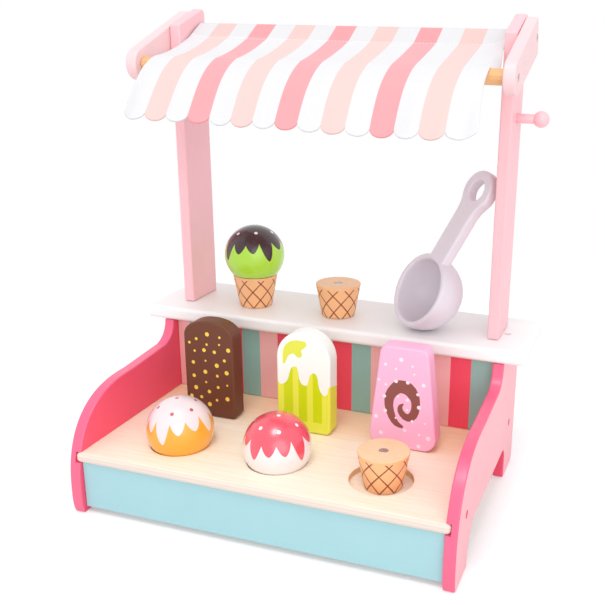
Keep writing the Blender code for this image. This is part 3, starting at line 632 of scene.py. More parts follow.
def stripedPaint(point):
    # teal, coral and red bands, one after another; the first one at the left is cut short
    step = calc("DIVIDE", minus(split(point)[0], stripes["start"]), stripes["width"])
    place = calc("MODULO", plus(step, 3.0), 3.0)
    colour = mixColour(spread(place, 0.995, 1.005), stripes["teal"], stripes["coral"])
    colour = mixColour(spread(place, 1.995, 2.005), colour, stripes["red"])
    return mixColour(spread(step, 0.0, -0.01), colour, stripes["coral"])


stripedBoard = paint("stripedBoard", stripedPaint, roughness=0.42)
finish(boardOf("back_board", 0.5), [stripedBoard], "back_board", "stripedPanel")

counter = {"cornerR": 5.0, "rounding": 3.5}
board = boardOf("counter", counter["rounding"], 5, counter["cornerR"], counter["cornerR"], 10)
board = drill(board, "left right", "counter front_post back_post")
finish(board, [whitePaint], "counter", "counterBoard")
print("boards done")


# posts, arms, dowels, peg and screws

post = {"frontTop": 379.6, "backTop": 395.0, "cornerR": 4.0, "rounding": 1.4}
arm = {"slope": 20.5, "reach": 83.5, "frontR": 13.0, "backW": 30.5, "rounding": 1.4}
peg = {"r": 3.8, "ballR": 6.5, "reach": 19.3, "seat": 6.0, "edge": 0.4, "play": 0.12, "spare": 0.3}
pegPlace = (stand["postOuter"], stand["postMiddle"], 314.2)
rods = {"front_dowel": (frontDowel, 6.0, 149.7), "rear_dowel": (rearDowel, 5.0, 139.6)}  # centre, radius, half length
alongX = turn(90, "Y")

for word, side in sides:
    low, high = corners(word + "_post")
    outline = roundCorners([
        (low[1], low[2], 0), (high[1], low[2], 0), (high[1], post["backTop"], post["cornerR"]),
        (low[1], post["frontTop"], 0),
    ])
    board = slab(outline, "X", low[0], high[0], post["rounding"], 4)
    board = drill(board, word, "front_post back_post rear_dowel")
    if word == "right":
        holeR, bottom = peg["r"] + peg["play"], -peg["seat"] - peg["spare"]
        board = carve(board, move(turned([(0, bottom), (holeR, bottom), (holeR, 6), (0, 6)], 32), pegPlace, alongX))
    finish(board, [pinkPaint], word + "_post")

    half, frontR = arm["backW"] / 2, arm["frontR"]
    taper = math.degrees(math.asin((half - frontR) / arm["reach"]))
    outline = roundArc((0, 0), frontR, 90 + taper, 270 - taper, 28)
    outline += [(arm["reach"], -half), (arm["reach"], half)]
    slat = slab(outline, "X", *sorted((side * stand["inner"], side * stand["outer"])), arm["rounding"], 4)
    slat = drill(move(slat, (0, *frontDowel), turn(arm["slope"], "X")), word, "front_dowel rear_dowel")
    finish(slat, [armPaint], word + "_arm")

for node, (centre, radius, half) in rods.items():
    end = [(0.0, 0.0), (radius - 0.9, 0.0), (radius - 0.25, 0.25), (radius, 0.9)]
    profile = [(r, along - half) for r, along in end] + [(r, half - along) for r, along in reversed(end)]
    rod = drill(move(turned(profile, 48), (0, *centre), alongX), "left right", node)
    finish(rod, [dowelWood], node)

neck = math.degrees(math.asin((peg["r"] - 0.35) / peg["ballR"]))
ball = roundArc((0, peg["reach"]), peg["ballR"], neck - 90, 90, 22)
profile = [(0, -peg["seat"]), (peg["r"] - peg["edge"], -peg["seat"]), (peg["r"], peg["edge"] - peg["seat"])]
profile += [(peg["r"], ball[0][1] - 0.5), (peg["r"] - 0.25, ball[0][1] - 0.15)]
profile += [(abs(x), y) for x, y in ball[:-1]] + [(0, peg["reach"] + peg["ballR"])]
finish(move(turned(profile, 48), pegPlace, alongX), [pinkPaint], "peg", "hookPeg", flat=False, sharp=50)

for node, (length, place, lie) in screws.items():
    material = pinkScrew if "shelf_screw" in node else paleScrew if "counter_screw" in node else zinc
    finish(move(screwShape(length), place, lie), [material], node, sharp=30)
print("posts, arms, dowels, peg and screws done")


# canopy: one cloth, sewn into a tunnel round the rear dowel, over the front dowel, down to a scalloped hem

cloth = {
    "half": 138.5, "bands": 15, "columns": 12, "rows": 120, "thickness": 0.7, "layer": 1.3, "scallop": 6.6,
    "seam": Vector((62.0, 369.4)), "wrapR": 5.75, "overR": 6.75, "sag": 2.2, "wave": 2.4, "hang": 7.0, "hangOut": 8.0,
    "flareFrom": 112.0, "flareLeft": 3.3, "flareRight": 1.5,
    "rise": (50, 12), "leave": (26, 8), "arrive": (22, 4),  # at the left end, and how much more at the right one
    "white": rgb(222, 222, 223), "pale": rgb(229, 197, 191), "pink": rgb(235, 158, 162), "hemShade": 0.38,
}
hemLine = (  # x across, y and z of the hem's tips
    (-138.5, -37.5, 309.3), (-129.3, -42.0, 308.8), (-110.8, -41.6, 308.6), (-73.9, -41.6, 308.6),
    (-36.9, -43.4, 308.0), (0.0, -44.6, 307.8), (37.0, -44.6, 306.6), (73.9, -43.6, 306.0),
    (104.0, -46.5, 306.6), (116.0, -47.0, 307.0), (129.3, -39.0, 307.2), (138.5, -29.0, 308.6),
)
width = 2 * cloth["half"]
bandWidth = width / cloth["bands"]


def hemAt(x):
    for first, last in zip(hemLine, hemLine[1:]):
        if x <= last[0] + 1e-6:
            share = max(0.0, (x - first[0]) / (last[0] - first[0]))
            return Vector(first[1:]).lerp(Vector(last[1:]), share * share * (3 - 2 * share))
    return Vector(hemLine[-1][1:])


def clothPath(x):
    # the cloth's middle line in (y, z) at one place across, from the tunnel's lower layer to the hem
    seam, away = cloth["seam"], rearDowel - cloth["seam"]
    tilt, narrow = math.degrees(math.atan2(away.y, away.x)), math.degrees(math.asin(cloth["wrapR"] / away.length))
    path = [seam - Vector((5, cloth["layer"] + 1.4)), seam - Vector((0, cloth["layer"]))]
    wrap = roundArc(rearDowel, cloth["wrapR"], tilt - narrow - 90, tilt + narrow + 90, 20)
    path += [Vector(point) for point in wrap]
    path.append(seam)
    down = frontDowel - seam
    lean = math.atan2(down.y, down.x) - math.asin(cloth["overR"] / down.length)
    over = frontDowel + cloth["overR"] * Vector((math.sin(lean), -math.cos(lean)))
    slack = cloth["sag"] * (0.5 - x / width)
    for step in range(1, 14):
        share = step / 14
        path.append(seam.lerp(over, share) - Vector((0, 4 * slack * share * (1 - share))))
    path.append(over)
    across, hem = x / width + 0.5, hemAt(x)
    rise, leave, arrive = [cloth[name][0] + cloth[name][1] * across for name in ("rise", "leave", "arrive")]
    ahead = Vector((math.cos(lean + 0.06), math.sin(lean + 0.06)))
    above = Vector((math.cos(math.radians(rise)), math.sin(math.radians(rise))))
    handles = (over, over + leave * ahead, hem + arrive * above, hem)
    for step in range(1, 41):
        t = step / 40
        weights = ((1 - t) ** 3, 3 * t * (1 - t) ** 2, 3 * t * t * (1 - t), t ** 3)
        path.append(sum((weight * handle for weight, handle in zip(weights, handles)), Vector((0, 0))))
    return path


def pathLength(path):
    return sum((b - a).length for a, b in zip(path, path[1:]))


def walk(path, distance):
    for a, b in zip(path, path[1:]):
        step = (b - a).length
        if distance <= step:
            return a.lerp(b, distance / step)
        distance -= step
    return path[-1]


def clamp(value):
    return max(0.0, min(1.0, value))


middlePath = clothPath(0.0)
flatLength, tunnelLength, overLength = [pathLength(middlePath[:end]) for end in (None, 24, 38)]
columns = cloth["bands"] * cloth["columns"]
bm = bmesh.new()
uvs = bm.loops.layers.uv.new("flat")
bmesh.ops.create_grid(bm, x_segments=columns, y_segments=cloth["rows"], size=0.5)
bm.verts.ensure_lookup_table()
paths, flatPlace = {}, {}
for vert in bm.verts:
    column, row = round((vert.co.x + 0.5) * columns), vert.co.y + 0.5
    band, part = divmod(column, cloth["columns"])
    inside = 0.5 - 0.5 * math.cos(math.pi * part / cloth["columns"])  # columns crowd towards the notches
    x = bandWidth * (band + inside) - cloth["half"]
    if column not in paths:
        path = clothPath(x)
        paths[column] = (path, pathLength(path))
    path, whole = paths[column]
    lift = cloth["scallop"] * (1 - math.sqrt(max(0.0, 1 - (2 * inside - 1) ** 2)))
    row = 0.5 * row + 0.5 * (1 - (1 - row) ** 1.6)  # rows crowd towards the hem
    distance = (whole - lift) * row
    y, z = walk(path, distance)
    past = clamp((distance - tunnelLength) / (whole - tunnelLength))
    ripple = noise.noise(Vector((x * 0.021, past * 1.5, 3.7))) + 0.5 * noise.noise(Vector((x * 0.06, past * 2, 9.1)))
    push = cloth["wave"] * ripple * past * past
    leftEnd, rightEnd = [
        max(0.0, (side * x - cloth["flareFrom"]) / (cloth["half"] - cloth["flareFrom"])) ** 2 for word, side in sides
    ]
    flare = (cloth["flareRight"] * rightEnd - cloth["flareLeft"] * leftEnd) * past ** 2
    slope = clamp((distance - tunnelLength) / (overLength - tunnelLength))
    # the edge that hangs beyond the right post's face
    edge = max(0.0, (x - cloth["half"] + 4) / 4) ** 2 * slope ** 1.4 * (1 - slope ** 9)
    flatPlace[vert.index] = ((x + cloth["half"]) * mm, (distance + (flatLength - whole)) * mm)
    vert.co = (x + flare + cloth["hangOut"] * edge, y - push, z + 0.35 * push - cloth["hang"] * edge)
for face in bm.faces:
    for loop in face.loops:
        loop[uvs].uv = flatPlace[loop.vert.index]
bmesh.ops.recalc_face_normals(bm, faces=bm.faces)


def makeStripedCloth():
    material, shader, point = startMaterial("stripedCloth", roughness=0.88, Sheen_Weight=0.25, Sheen_Roughness=0.5)
    flat = add("Mapping", {0: add("UVMap", {}, 0, material.node_tree, uv_map="flat"), 3: (1 / mm,) * 3})
    weave = useGroup(clothWeave, Point=flat)
    across, along = split(flat)[:2]
    bands = calc("DIVIDE", across, bandWidth)
    place = calc("MODULO", bands, 4.0)
    base = cloth["white"]
    for middle, colour in ((1.5, cloth["pale"]), (3.5, cloth["pink"])):
        base = mixColour(spread(calc("ABSOLUTE", minus(place, middle)), 0.506, 0.494), base, colour)
    doubled = spread(along, tunnelLength + 0.3, tunnelLength - 0.3)
    base = mixColour(times(doubled, 0.18), base, base, "MULTIPLY")
    middle = calc("MULTIPLY_ADD", calc("FRACT", bands), 2.0, -1.0)
    arch = calc("SQRT", minus(1.0, times(middle, middle)))
    fromHem = minus(calc("MULTIPLY_ADD", arch, cloth["scallop"], flatLength - cloth["scallop"]), along)
    base = mixColour(times(spread(fromHem, 0.95, 0.55), cloth["hemShade"]), base, base, "MULTIPLY")
    base = mixColour(1.0, base, grey(spread(weave["Shade"], 0.35, 0.65, 0.965, 1.0)), "MULTIPLY")
    surface(shader, base, spread(weave["Relief"], 0.0, 1.0, 0.84, 0.92), weave["Relief"], 0.00006, 0.8)
    return material


canopy = finish(bm, [makeStripedCloth()], "canopy", "canopyCloth", flat=False, sharp=80)
thicken = canopy.modifiers.new("thickness", "SOLIDIFY")
thicken.thickness, thicken.offset = cloth["thickness"] * mm, 0
print("canopy done, flat", round(width, 1), "x", round(flatLength, 1), "mm")

seam = {"pitch": 3.1, "long": 1.4, "thick": 0.24, "end": 2.0}
stitches = bmesh.new()
count = int((width - 2 * seam["end"]) / seam["pitch"])
for index in range(count):
    x = (index - (count - 1) / 2) * seam["pitch"]
    path = clothPath(x)
    here, before = walk(path, tunnelLength + 0.8), walk(path, tunnelLength - 1.2)
    up = Vector((here.y - before.y, before.x - here.x)).normalized()
    up = -up if up.y < 0 else up
    place = Matrix.Translation((x, *(here + up * (cloth["thickness"] / 2 + 0.05))))
    size = Matrix.Diagonal((seam["long"], seam["thick"], seam["thick"], 1))
    bmesh.ops.create_uvsphere(stitches, u_segments=6, v_segments=4, radius=1.0, matrix=place @ size)
thread = paint("thread", rgb(250, 240, 238), grain=(3, 1, 1), roughness=0.7)
seamLine = finish(stitches, [thread], "canopy", "canopySeam", flat=False, sharp=80, replaces=False)


# cones, and the magnets of cones and scoops

cone = {"baseR": 15.0, "topR": 20.18, "height": 29.5, "rounding": 0.8, "pocketR": 3.7, "pocket": 2.6}
magnet = {"r": 3.4, "height": 2.0, "rounding": 0.3, "play": 0.3}
waffle = {
    "spacing": 45.0, "twist": 2.78, "line": 0.56, "end": 27.2, "colour": rgb(140, 56, 34), "base": rgb(248, 188, 134),
}
cones = {  # centre of the foot, and where each family of lines starts
    "left_cone": ((-83.4, 65.6, 132.9), 18.5, 18.5), "middle_cone": ((-1.0, 65.6, 132.9), 24.0, 35.0),
    "right_cone": ((89.5, -69.75, 48.5), 8.0, 7.5),
}


def around(x, y):
    return times(calc("ARCTAN2", x, times(y, -1.0)), 180 / math.pi)  # degrees, from the front towards +X


def fromAxis(point):
    return vector("LENGTH", vector("MULTIPLY", point, (1, 1, 0)), output=1)


def makeWaffle(name, centre, first, second):
    # two families of slanted lines that start a little under the rim
    def pattern(point):
        x, y, z = split(point)
        twist = times(z, waffle["twist"])
        perDegree = times(fromAxis(point), math.pi / 180 * 0.8)
        nearest = farAway
        for lean, phase in ((plus, first), (minus, second)):
            away = calc("PINGPONG", plus(lean(around(x, y), twist), 720 - phase), waffle["spacing"] / 2)
            nearest = calc("MINIMUM", nearest, times(away, perDegree))
        line = spread(nearest, waffle["line"] + 0.08, waffle["line"] - 0.08)
        line = times(line, spread(z, waffle["end"] + 0.1, waffle["end"] - 0.1))
        blot = spread(noiseAt(point, 0.5), 0.2, 0.5, 0.75, 1.0)
        return mixColour(times(line, blot), waffle["base"], waffle["colour"])

    return paint(name, pattern, centre=centre, roughness=0.42, tint=0.07)


def putMagnet(name, node, centre, pocketLow):
    low, rounding, radius = pocketLow + magnet["play"], magnet["rounding"], magnet["r"]
    high = low + magnet["height"]
    profile = [(0, low), (radius - rounding, low), (radius, low + rounding)]
    profile += [(radius, high - rounding), (radius - rounding, high), (0, high)]
    finish(move(turned(profile, 40), (centre[0], centre[1], 0)), [zinc], node + "_magnet", name, flat=False)


for node, (centre, first, second) in cones.items():
    rounding, top, pocketR = cone["rounding"], cone["height"], cone["pocketR"]
    pocketLow = top - cone["pocket"]
    profile = [(0, 0)] + roundArc((cone["baseR"] - rounding, rounding), rounding, -90, 0, 5)
    profile += roundArc((cone["topR"] - rounding, top - rounding), rounding, 0, 90, 5)
    profile += [(pocketR + 0.25, top), (pocketR, top - 0.25), (pocketR, pocketLow), (0, pocketLow)]
    shape, title = move(turned(profile, 96), centre), camel(node)
    endWood = wood(title + "Top", rgb(249, 208, 168), rgb(242, 195, 152), centre, grain=(0.25, 1.1, 1))
    finish(
        shape, [makeWaffle(title + "Side", centre, first, second), endWood], node, flat=False, sharp=44,
        pick=lambda face: 1 if face.normal.z > 0.8 or face.calc_center_median().z > centre[2] + top - 0.2 else 0,
    )
    putMagnet(title + "Magnet", node, centre, centre[2] + pocketLow)


# scoops: balls cut flat, with a coating that runs down in drips

scoop = {"r": 27.0, "cut": 18.0, "dotR": 1.55}
drips = {  # tips and valleys of the coating's edge, and dots: direction round the ball and height, in degrees
    "green": {
        "centre": (-83.4, 65.6, 180.7), "gloss": 0.22, "coatIor": 1.45,
        "base": rgb(176, 226, 62), "coating": rgb(60, 33, 39), "dot": rgb(252, 240, 238),
        "tips": (
            (-155, -2.6), (-125, 13.4), (-95, 10.4), (-65, 12.4), (-35, -4.6), (-5.8, 11.8), (24.1, 14.1),
            (56.4, -2.6), (85.4, 15.4), (116, 11.4), (146, -3.6), (174, 13.4),
        ),
        "valleys": (
            (-140, 30.4), (-110, 32.4), (-80, 30.4), (-50, 31.4), (-20.9, 29.7), (8.3, 29.6), (37.7, 33.4),
            (68.1, 32.8), (101, 31.4), (131, 30.4), (160, 32.4), (-168, 31.4),
        ),
        "dots": ((-31.6, 51.9), (33.5, 58), (100.9, 52.2), (-100, 56.4), (170, 53.4)),
    },
    "orange": {
        "centre": (-85.2, -69.95, 66.5), "gloss": 0.36, "coatIor": 1.5,
        "base": rgb(246, 168, 40), "coating": rgb(238, 220, 221), "dot": rgb(196, 84, 84),
        "tips": (
            (-172, 10), (-143, -4), (-112, 9), (-82, 11), (-54, -5), (-25.9, 10.7), (0.9, -5.4), (29.0, 12.3),
            (59.0, 15.4), (89.7, 4.8), (124, 11), (156, -6),
        ),
        "valleys": (
            (-158, 31), (-128, 30), (-97, 32), (-68, 30), (-42.2, 29.6), (-17.7, 32.8), (12.6, 31.0), (42.8, 33.9),
            (74.7, 38.0), (106.4, 35.2), (140, 31), (171, 30),
        ),
        "dots": (
            (-45.4, 52.6), (-32.3, 87.0), (14.0, 49.2), (67.5, 52.4), (121.0, 60.5), (-95, 50), (-145, 53), (175, 48),
        ),
    },
    "red": {
        "centre": (1.6, -69.95, 66.5), "gloss": 0.3, "coatIor": 1.8,
        "base": rgb(240, 229, 227), "coating": rgb(236, 68, 92), "dot": rgb(252, 240, 240),
        "tips": (
            (-174, 8), (-147, -6), (-119, 5), (-92, 6), (-66, -10), (-40.6, 13.4), (-15.8, -2.6), (11.2, 6.2),
            (38.6, 6.5), (70.2, -8.3), (96.2, 13.0), (127, 4), (157, -8),
        ),
        "valleys": (
            (-160, 26), (-133, 25), (-105, 24), (-79, 28), (-54.1, 25.8), (-30.2, 28.2), (-2.9, 23.4), (24.0, 24.5),
            (51.8, 29.7), (80.8, 30.4), (111.6, 30.3), (142, 25), (171, 26),
        ),
        "dots": ((-20.8, 50.9), (55.0, 83.5), (87.3, 50.3), (30.4, 47.9), (-78, 49), (150, 50), (-135, 52)),
    },
}


def makeDrips(name, look):
    def pattern(point):
        x, y, z = split(point)
        direction = around(x, y)
        height = times(calc("ARCTAN2", z, fromAxis(point)), 180 / math.pi)
        tips, valleys = look["tips"], look["valleys"]
        edge = 90.0
        for (tip, low), before, after in zip(tips, valleys[-1:] + valleys, valleys):
            edge = useGroup(
                drip, Direction=direction, Tip=tip, Low=low, Nearest=edge,
                SpanLeft=(tip - before[0]) % 360, RiseLeft=before[1] - low,
                SpanRight=(after[0] - tip) % 360, RiseRight=after[1] - low,
            )[0]
        colour = mixColour(spread(minus(height, edge), -0.3, 0.3), look["base"], look["coating"])
        places = []
        for a, h in look["dots"]:
            lie = turn(a, "Z") @ turn(-h, "X")
            places.append((*(lie @ Vector((0, -scoop["r"], 0))), scoop["dotR"]))
        return mixColour(spots(point, places), colour, look["dot"])

    return paint(
        name, pattern, centre=look["centre"], grain=(1, 1, 1), roughness=look["gloss"], tint=0.05, relief=0.00001,
        Coat_Weight=1.0, Coat_Roughness=0.24, Coat_IOR=look["coatIor"], Specular_IOR_Level=0.3,
    )


for name, look in drips.items():
    node, cut, pocketR, pocketTop = name + "_scoop", scoop["cut"], cone["pocketR"], cone["pocket"] - scoop["cut"]
    flatR = math.sqrt(scoop["r"] ** 2 - cut ** 2)
    lowAngle = math.degrees(math.asin(-cut / scoop["r"]))
    side = roundArc((0, 0), scoop["r"], lowAngle + 2.2, 90, 44)
    profile = [(0, pocketTop), (pocketR, pocketTop), (pocketR, -cut), (flatR - 1.0, -cut)]
    profile += [(flatR - 0.3, 0.15 - cut), (flatR + 0.15, 0.45 - cut), *side[:-1], (0, scoop["r"])]
    shape = move(turned(profile, 112), look["centre"])
    finish(shape, [makeDrips(name + "Coat", look)], node, flat=False, sharp=44)
    putMagnet(name + "Magnet", node, look["centre"], look["centre"][2] - cut)
print("cones and scoops done")


# lollies: flat boards with well rounded edges and a painted face; dots, swirl and mark are (x, z, size)

lolly = {"y": -9.5, "thickness": 16.6, "foot": 53.5, "rounding": 1.8}
chocolateDots = (
    (0.3, 76.2, 1.9), (-17.2, 66.8, 1.2), (-10.3, 70.9, 1.3), (12.1, 74.7, 1.15), (-0.5, 66.8, 1.1),
    (11.5, 68.1, 0.95), (-3.3, 61.4, 1.7), (-12.4, 59.7, 1.1), (6.6, 60.8, 1.55), (20.0, 64.1, 1.9),
    (-14.3, 49.0, 1.6), (-2.3, 51.8, 0.9), (15.9, 54.2, 1.4), (8.4, 48.7, 1.95), (-3.0, 41.5, 1.85),
    (-14.2, 36.6, 1.6), (17.6, 43.1, 1.95), (8.5, 39.1, 1.3), (-2.7, 31.9, 1.0), (-12.8, 25.6, 1.95),
    (17.7, 31.6, 0.9), (8.8, 28.6, 1.35), (0.0, 23.4, 1.65), (-7.8, 17.3, 1.45), (-17.5, 17.1, 1.7),
    (7.1, 16.3, 1.2), (17.4, 18.8, 1.95), (-0.1, 11.5, 1.95), (-11.5, 8.0, 1.3),
)
pinkDots = (
    (-2.5, 77.7, 1.8), (-15.5, 72.1, 1.35), (-6.6, 69.2, 1.0), (7.1, 73.2, 1.0), (8.6, 66.7, 0.9),
    (-20.8, 58.2, 1.1), (-14.8, 54.8, 1.0), (-6.4, 58.7, 1.5), (3.4, 58.9, 1.5), (16.5, 58.4, 1.7),
    (-16.0, 44.5, 1.5), (12.0, 49.9, 1.3), (-4.6, 45.8, 0.9), (3.5, 43.9, 1.5), (13.3, 38.8, 1.7),
    (-15.1, 31.9, 1.55), (3.4, 35.0, 1.1), (-22.8, 25.7, 1.75), (-6.0, 26.8, 0.9), (7.9, 25.9, 1.2),
    (18.5, 25.4, 0.9), (-18.4, 11.7, 1.75), (2.0, 16.9, 1.5), (14.2, 15.0, 1.1), (21.8, 12.8, 1.9),
    (14.0, 4.6, 1.7), (-8.0, 6.0, 1.2),
)
swirl = (
    (-1.0, 19.8, 1.5), (-5.4, 21.9, 2.5), (-9.2, 27.4, 3.2), (-12.0, 37.0, 3.7), (-11.2, 45.6, 4.2),
    (-7.2, 51.6, 4.9), (-2.9, 54.6, 5.5), (3.6, 53.6, 5.6), (8.0, 49.0, 4.8), (10.4, 43.0, 3.7),
    (9.9, 34.4, 3.5), (6.6, 29.0, 3.5), (1.7, 29.0, 3.0), (-2.1, 33.2, 2.5), (-2.3, 37.2, 1.8),
    (-0.2, 39.6, 0.7),
)
coatEdge = (  # x across and height of the lime lolly's white coating
    (-30.0, 43.6), (-22.5, 43.0), (-19.4, 41.3), (-15.7, 42.9), (-12.9, 47.3), (-11.0, 53.9), (-8.7, 57.8),
    (-5.4, 58.4), (-3.7, 54.1), (-2.4, 47.1), (0.7, 43.1), (3.7, 43.0), (5.8, 48.4), (7.6, 53.1), (10.7, 54.8),
    (13.3, 52.2), (14.5, 45.2), (16.8, 38.4), (20.4, 36.2), (22.6, 38.5), (23.6, 44.0), (30.0, 46.0),
)
limeSlots = ((-16.9, -8.7, 9.9), (-3.5, 4.0, 9.9), (9.4, 17.5, 10.4))  # left, right and lower end
limeMarks = (
    (
        (-16.3, 61.2, 1.2), (-14.9, 68.0, 2.6), (-12.3, 72.6, 4.2), (-8.4, 75.3, 5.3), (-3.8, 77.0, 5.0),
        (1.6, 79.2, 2.6),
    ),
    ((-6.0, 74.5, 4.6), (-2.9, 69.9, 3.0)),
)


def onFace(point):
    return vector("MULTIPLY", point, (1, 0, 1))


def chocolatePattern(point):
    return mixColour(spots(onFace(point), chocolateDots), rgb(108, 63, 44), rgb(250, 210, 84))


def limePattern(point):
    x, y, z = split(point)
    colour = rgb(231, 234, 76)
    for left, right, low in limeSlots:
        inside = times(spread(x, left - 0.1, left + 0.1), spread(x, right + 0.1, right - 0.1))
        colour = mixColour(times(inside, spread(z, low - 0.1, low + 0.1)), colour, rgb(204, 219, 0))
    points = [((a + 30) / 60, (h - 30) / 40) for a, h in coatEdge]
    edge = spread(curveOf(spread(x, -30, 30), points), 0.0, 1.0, 30, 70)
    slant = times(spread(calc("ABSOLUTE", x), 22.8, 23.7), spread(y, -8, 8, 0.0, -5.0))
    colour = mixColour(spread(minus(z, plus(edge, slant)), -0.12, 0.12), colour, rgb(243, 247, 240))
    for mark in limeMarks:
        colour = mixColour(strokes(onFace(point), mark), colour, rgb(225, 230, 80))
    return colour


def pinkPattern(point):
    colour = mixColour(strokes(onFace(point), swirl), rgb(250, 186, 216), rgb(142, 82, 74))
    return mixColour(spots(onFace(point), pinkDots), colour, rgb(247, 229, 240))


def lollyFoot(half, radius):
    left, right = (radius - half, radius), (half - radius, radius)
    return roundArc(left, radius, 180, 270, 7) + roundArc(right, radius, 270, 360, 7)


roundTop = lollyFoot(23.6, 4.0) + arc((0, 72.5), (23.6, 14.9), 0, 180, 36, 2.2)
halfRound = lollyFoot(24.0, 5.0) + roundArc((0, 64.9), 24.0, 0, 180, 40)
tapered = roundCorners([(-29.6, 0, 11), (29.6, 0, 11), (19.5, 87.8, 7), (-19.5, 87.8, 7)], 10)
lollies = {  # place across, middle of the painted pattern, outline and pattern
    "chocolate": (-87.1, -88.0, roundTop, chocolatePattern),
    "lime": (0.75, 0.0, halfRound, limePattern),
    "pink": (87.6, 88.0, tapered, pinkPattern),
}
for name, (x, patternX, outline, pattern) in lollies.items():
    centre, patternCentre = [(across, lolly["y"], lolly["foot"]) for across in (x, patternX)]
    shape = slab(outline, "Y", -lolly["thickness"] / 2, lolly["thickness"] / 2, lolly["rounding"], 6)
    lollyPaint = paint(name + "Paint", pattern, patternCentre, roughness=0.42, tint=0.06, Specular_IOR_Level=0.3)
    finish(move(shape, centre), [lollyPaint], name + "_lolly")
print("lollies done")


# ladle: a half-round bowl and a flat handle with a ring, moulded in one

ladle = {
    "bowlR": 33.0, "wall": 5.1, "lip": 8.1, "width": 22.0, "thickness": 9.5, "length": 97.4, "set": 0.5,
    "rounding": 1.5, "ringR": 17.6, "holeR": 9.2, "filletR": 25.0, "turn": -41.3, "lean": 25.0, "roll": 13.0,
    "ahead": 20.2, "voxel": 0.7, "play": 0.3,
}
inner, rim, lip = ladle["bowlR"] - ladle["wall"], ladle["wall"] / 2, -ladle["lip"]
profile = [(0, lip - ladle["bowlR"])] + roundArc((0, lip), ladle["bowlR"], 270, 360, 30)[1:]
profile += roundArc((ladle["bowlR"] - rim, -rim), rim, 0, 180, 10)
profile += roundArc((0, lip), inner, 360, 270, 30)[:-1] + [(0, lip - inner)]
bowl = turned(profile, 96)
half, startY, length, filletR = ladle["width"] / 2, ladle["bowlR"] - rim, ladle["length"], ladle["filletR"]
reach = half + filletR
rise = math.sqrt((ladle["ringR"] + filletR) ** 2 - reach ** 2)
leanBack = math.degrees(math.atan2(rise, reach))
outline = [(-half, startY), (half, startY)]
outline += roundArc((reach, length - rise), filletR, 180, 180 - leanBack, 10)
outline += roundArc((0, length), ladle["ringR"], -leanBack, 180 + leanBack, 48)[1:-1]
outline += roundArc((-reach, length - rise), filletR, leanBack, 0, 10)
handle = slab(outline, "Z", -ladle["set"] - ladle["thickness"], -ladle["set"], ladle["rounding"], 3)
hole = move(turned([(0, -30), (ladle["holeR"], -30), (ladle["holeR"], 9), (0, 9)], 64), (0, length, 0))
blank = asObject("ladleBlank", carve(carve(bowl, handle, "UNION"), hole))
remesh = blank.modifiers.new("even", "REMESH")
remesh.mode, remesh.voxel_size = "VOXEL", ladle["voxel"]
shape = evaluated(blank)
bpy.data.objects.remove(blank)
for again in range(5):
    bmesh.ops.smooth_vert(shape, verts=shape.verts, factor=0.5, use_axis_x=True, use_axis_y=True, use_axis_z=True)

# it stands on its bowl and leans against the right post's inner face
lie = turn(ladle["turn"], "Z") @ turn(-ladle["lean"], "X") @ turn(ladle["roll"], "Y") @ turn(90, "X")
along, facing, edge = lie.col[1].xyz, lie.col[2].xyz, ladle["rounding"]
reach = (ladle["ringR"] - edge) * math.sqrt(1 - facing.x ** 2)
reach += (ladle["set"] + ladle["thickness"] - edge) * abs(facing.x) + edge
x = stand["postInner"] - ladle["play"] - reach - length * along.x
z = stand["counterTop"] + ladle["play"] + ladle["bowlR"] + ladle["lip"] * facing.z
move(shape, (x, stand["postMiddle"] - ladle["ahead"], z), lie)
lilac = paint("lilacPlastic", rgb(228, 221, 228), grain=(1, 1, 1), roughness=0.36, tint=0.03, relief=0.00001)
finish(shape, [lilac], "ladle", "ladleSpoon", flat=False, sharp=70)
print("ladle done")


# floor, light and camera

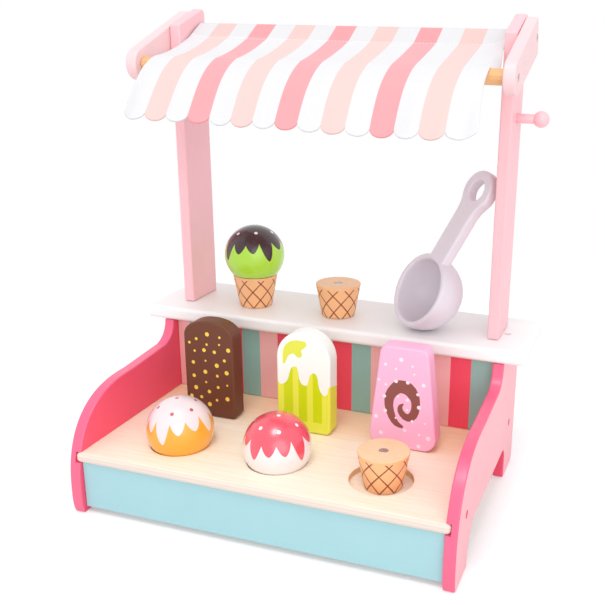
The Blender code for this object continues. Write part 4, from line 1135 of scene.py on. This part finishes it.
floor = {"size": 4.0, "near": 0.42, "far": 0.85, "seen": 0.8, "bounce": 0.86, "glow": 0.26, "under": 0.0002}
plane = bmesh.new()
bmesh.ops.create_circle(plane, cap_ends=True, segments=64, radius=floor["size"])
ground = asObject("ground", plane)
ground.location.z = -floor["under"]
material = bpy.data.materials.new("paleFloor")
material.use_nodes = True
tree = material.node_tree
shader = tree.nodes["Principled BSDF"]
seenRay = add("LightPath", {}, 0, tree)
feed(shader, {
    "Roughness": 0.7, "Specular IOR Level": 0.1, "Emission Color": (1, 1, 1, 1),
    "Base Color": grey(spread(seenRay, 0.0, 1.0, floor["bounce"], floor["seen"])),
    "Emission Strength": times(seenRay, floor["glow"]),
})
away = vector("LENGTH", add("TexCoord", {}, 3, tree), output=1)
fade = times(spread(away, floor["near"], floor["far"]), seenRay)
blend = add("MixShader", {0: fade, 1: shader.outputs[0], 2: add("BsdfTransparent", {}, 0, tree)})
feed(tree.nodes["Material Output"], {"Surface": blend})
ground.data.materials.append(material)

world = bpy.data.worlds.new("studio")
bpy.context.scene.world = world
world.use_nodes = True
tree = world.node_tree
background = tree.nodes["Background"]
feed(background, {"Color": rgb(252, 252, 255), "Strength": 0.93})
white = add("Background", {"Color": (1, 1, 1, 1)}, 0, tree)
rays = tree.nodes.new("ShaderNodeLightPath").outputs
direct = calc("MAXIMUM", rays["Is Camera Ray"], rays["Is Transmission Ray"])
direct = calc("MAXIMUM", direct, rays["Is Glossy Ray"])
feed(tree.nodes["World Output"], {"Surface": add("MixShader", {0: direct, 1: background.outputs[0], 2: white})})

lamps = {
    "keyLamp": {"at": (0.1, -1.1, 3.05), "size": 1.1, "watts": 27.0},
    "fillLamp": {"at": (1.7, -2.5, 1.05), "size": 2.8, "watts": 28.0},
}
aim = Vector((0, 0, 0.15))
for name, lamp in lamps.items():
    data = bpy.data.lights.new(name, "AREA")
    data.shape, data.size, data.energy = "DISK", lamp["size"], lamp["watts"]
    made = bpy.data.objects.new(name, data)
    made.location = lamp["at"]
    made.rotation_euler = (aim - Vector(lamp["at"])).to_track_quat("-Z", "Y").to_euler()
    bpy.context.scene.collection.objects.link(made)

view = {
    "at": (0.2675, -0.61115, 0.3756), "azimuth": 17.557, "down": 17.758, "roll": 1.312, "lens": 50.15,
    "shift": (-0.1539, 0.0034),
}
cameraData = bpy.data.cameras.new("camera")
cameraData.lens, cameraData.sensor_width = view["lens"], 36
cameraData.shift_x, cameraData.shift_y = view["shift"]
cameraData.clip_start, cameraData.clip_end = 0.01, 50
camera = bpy.data.objects.new("camera", cameraData)
lie = turn(view["azimuth"], "Z") @ turn(90 - view["down"], "X") @ turn(view["roll"], "Z")
camera.matrix_world = Matrix.Translation(view["at"]) @ lie
bpy.context.scene.collection.objects.link(camera)
bpy.context.scene.camera = camera
bpy.context.scene.view_settings.view_transform = "Standard"

print("scene ready")
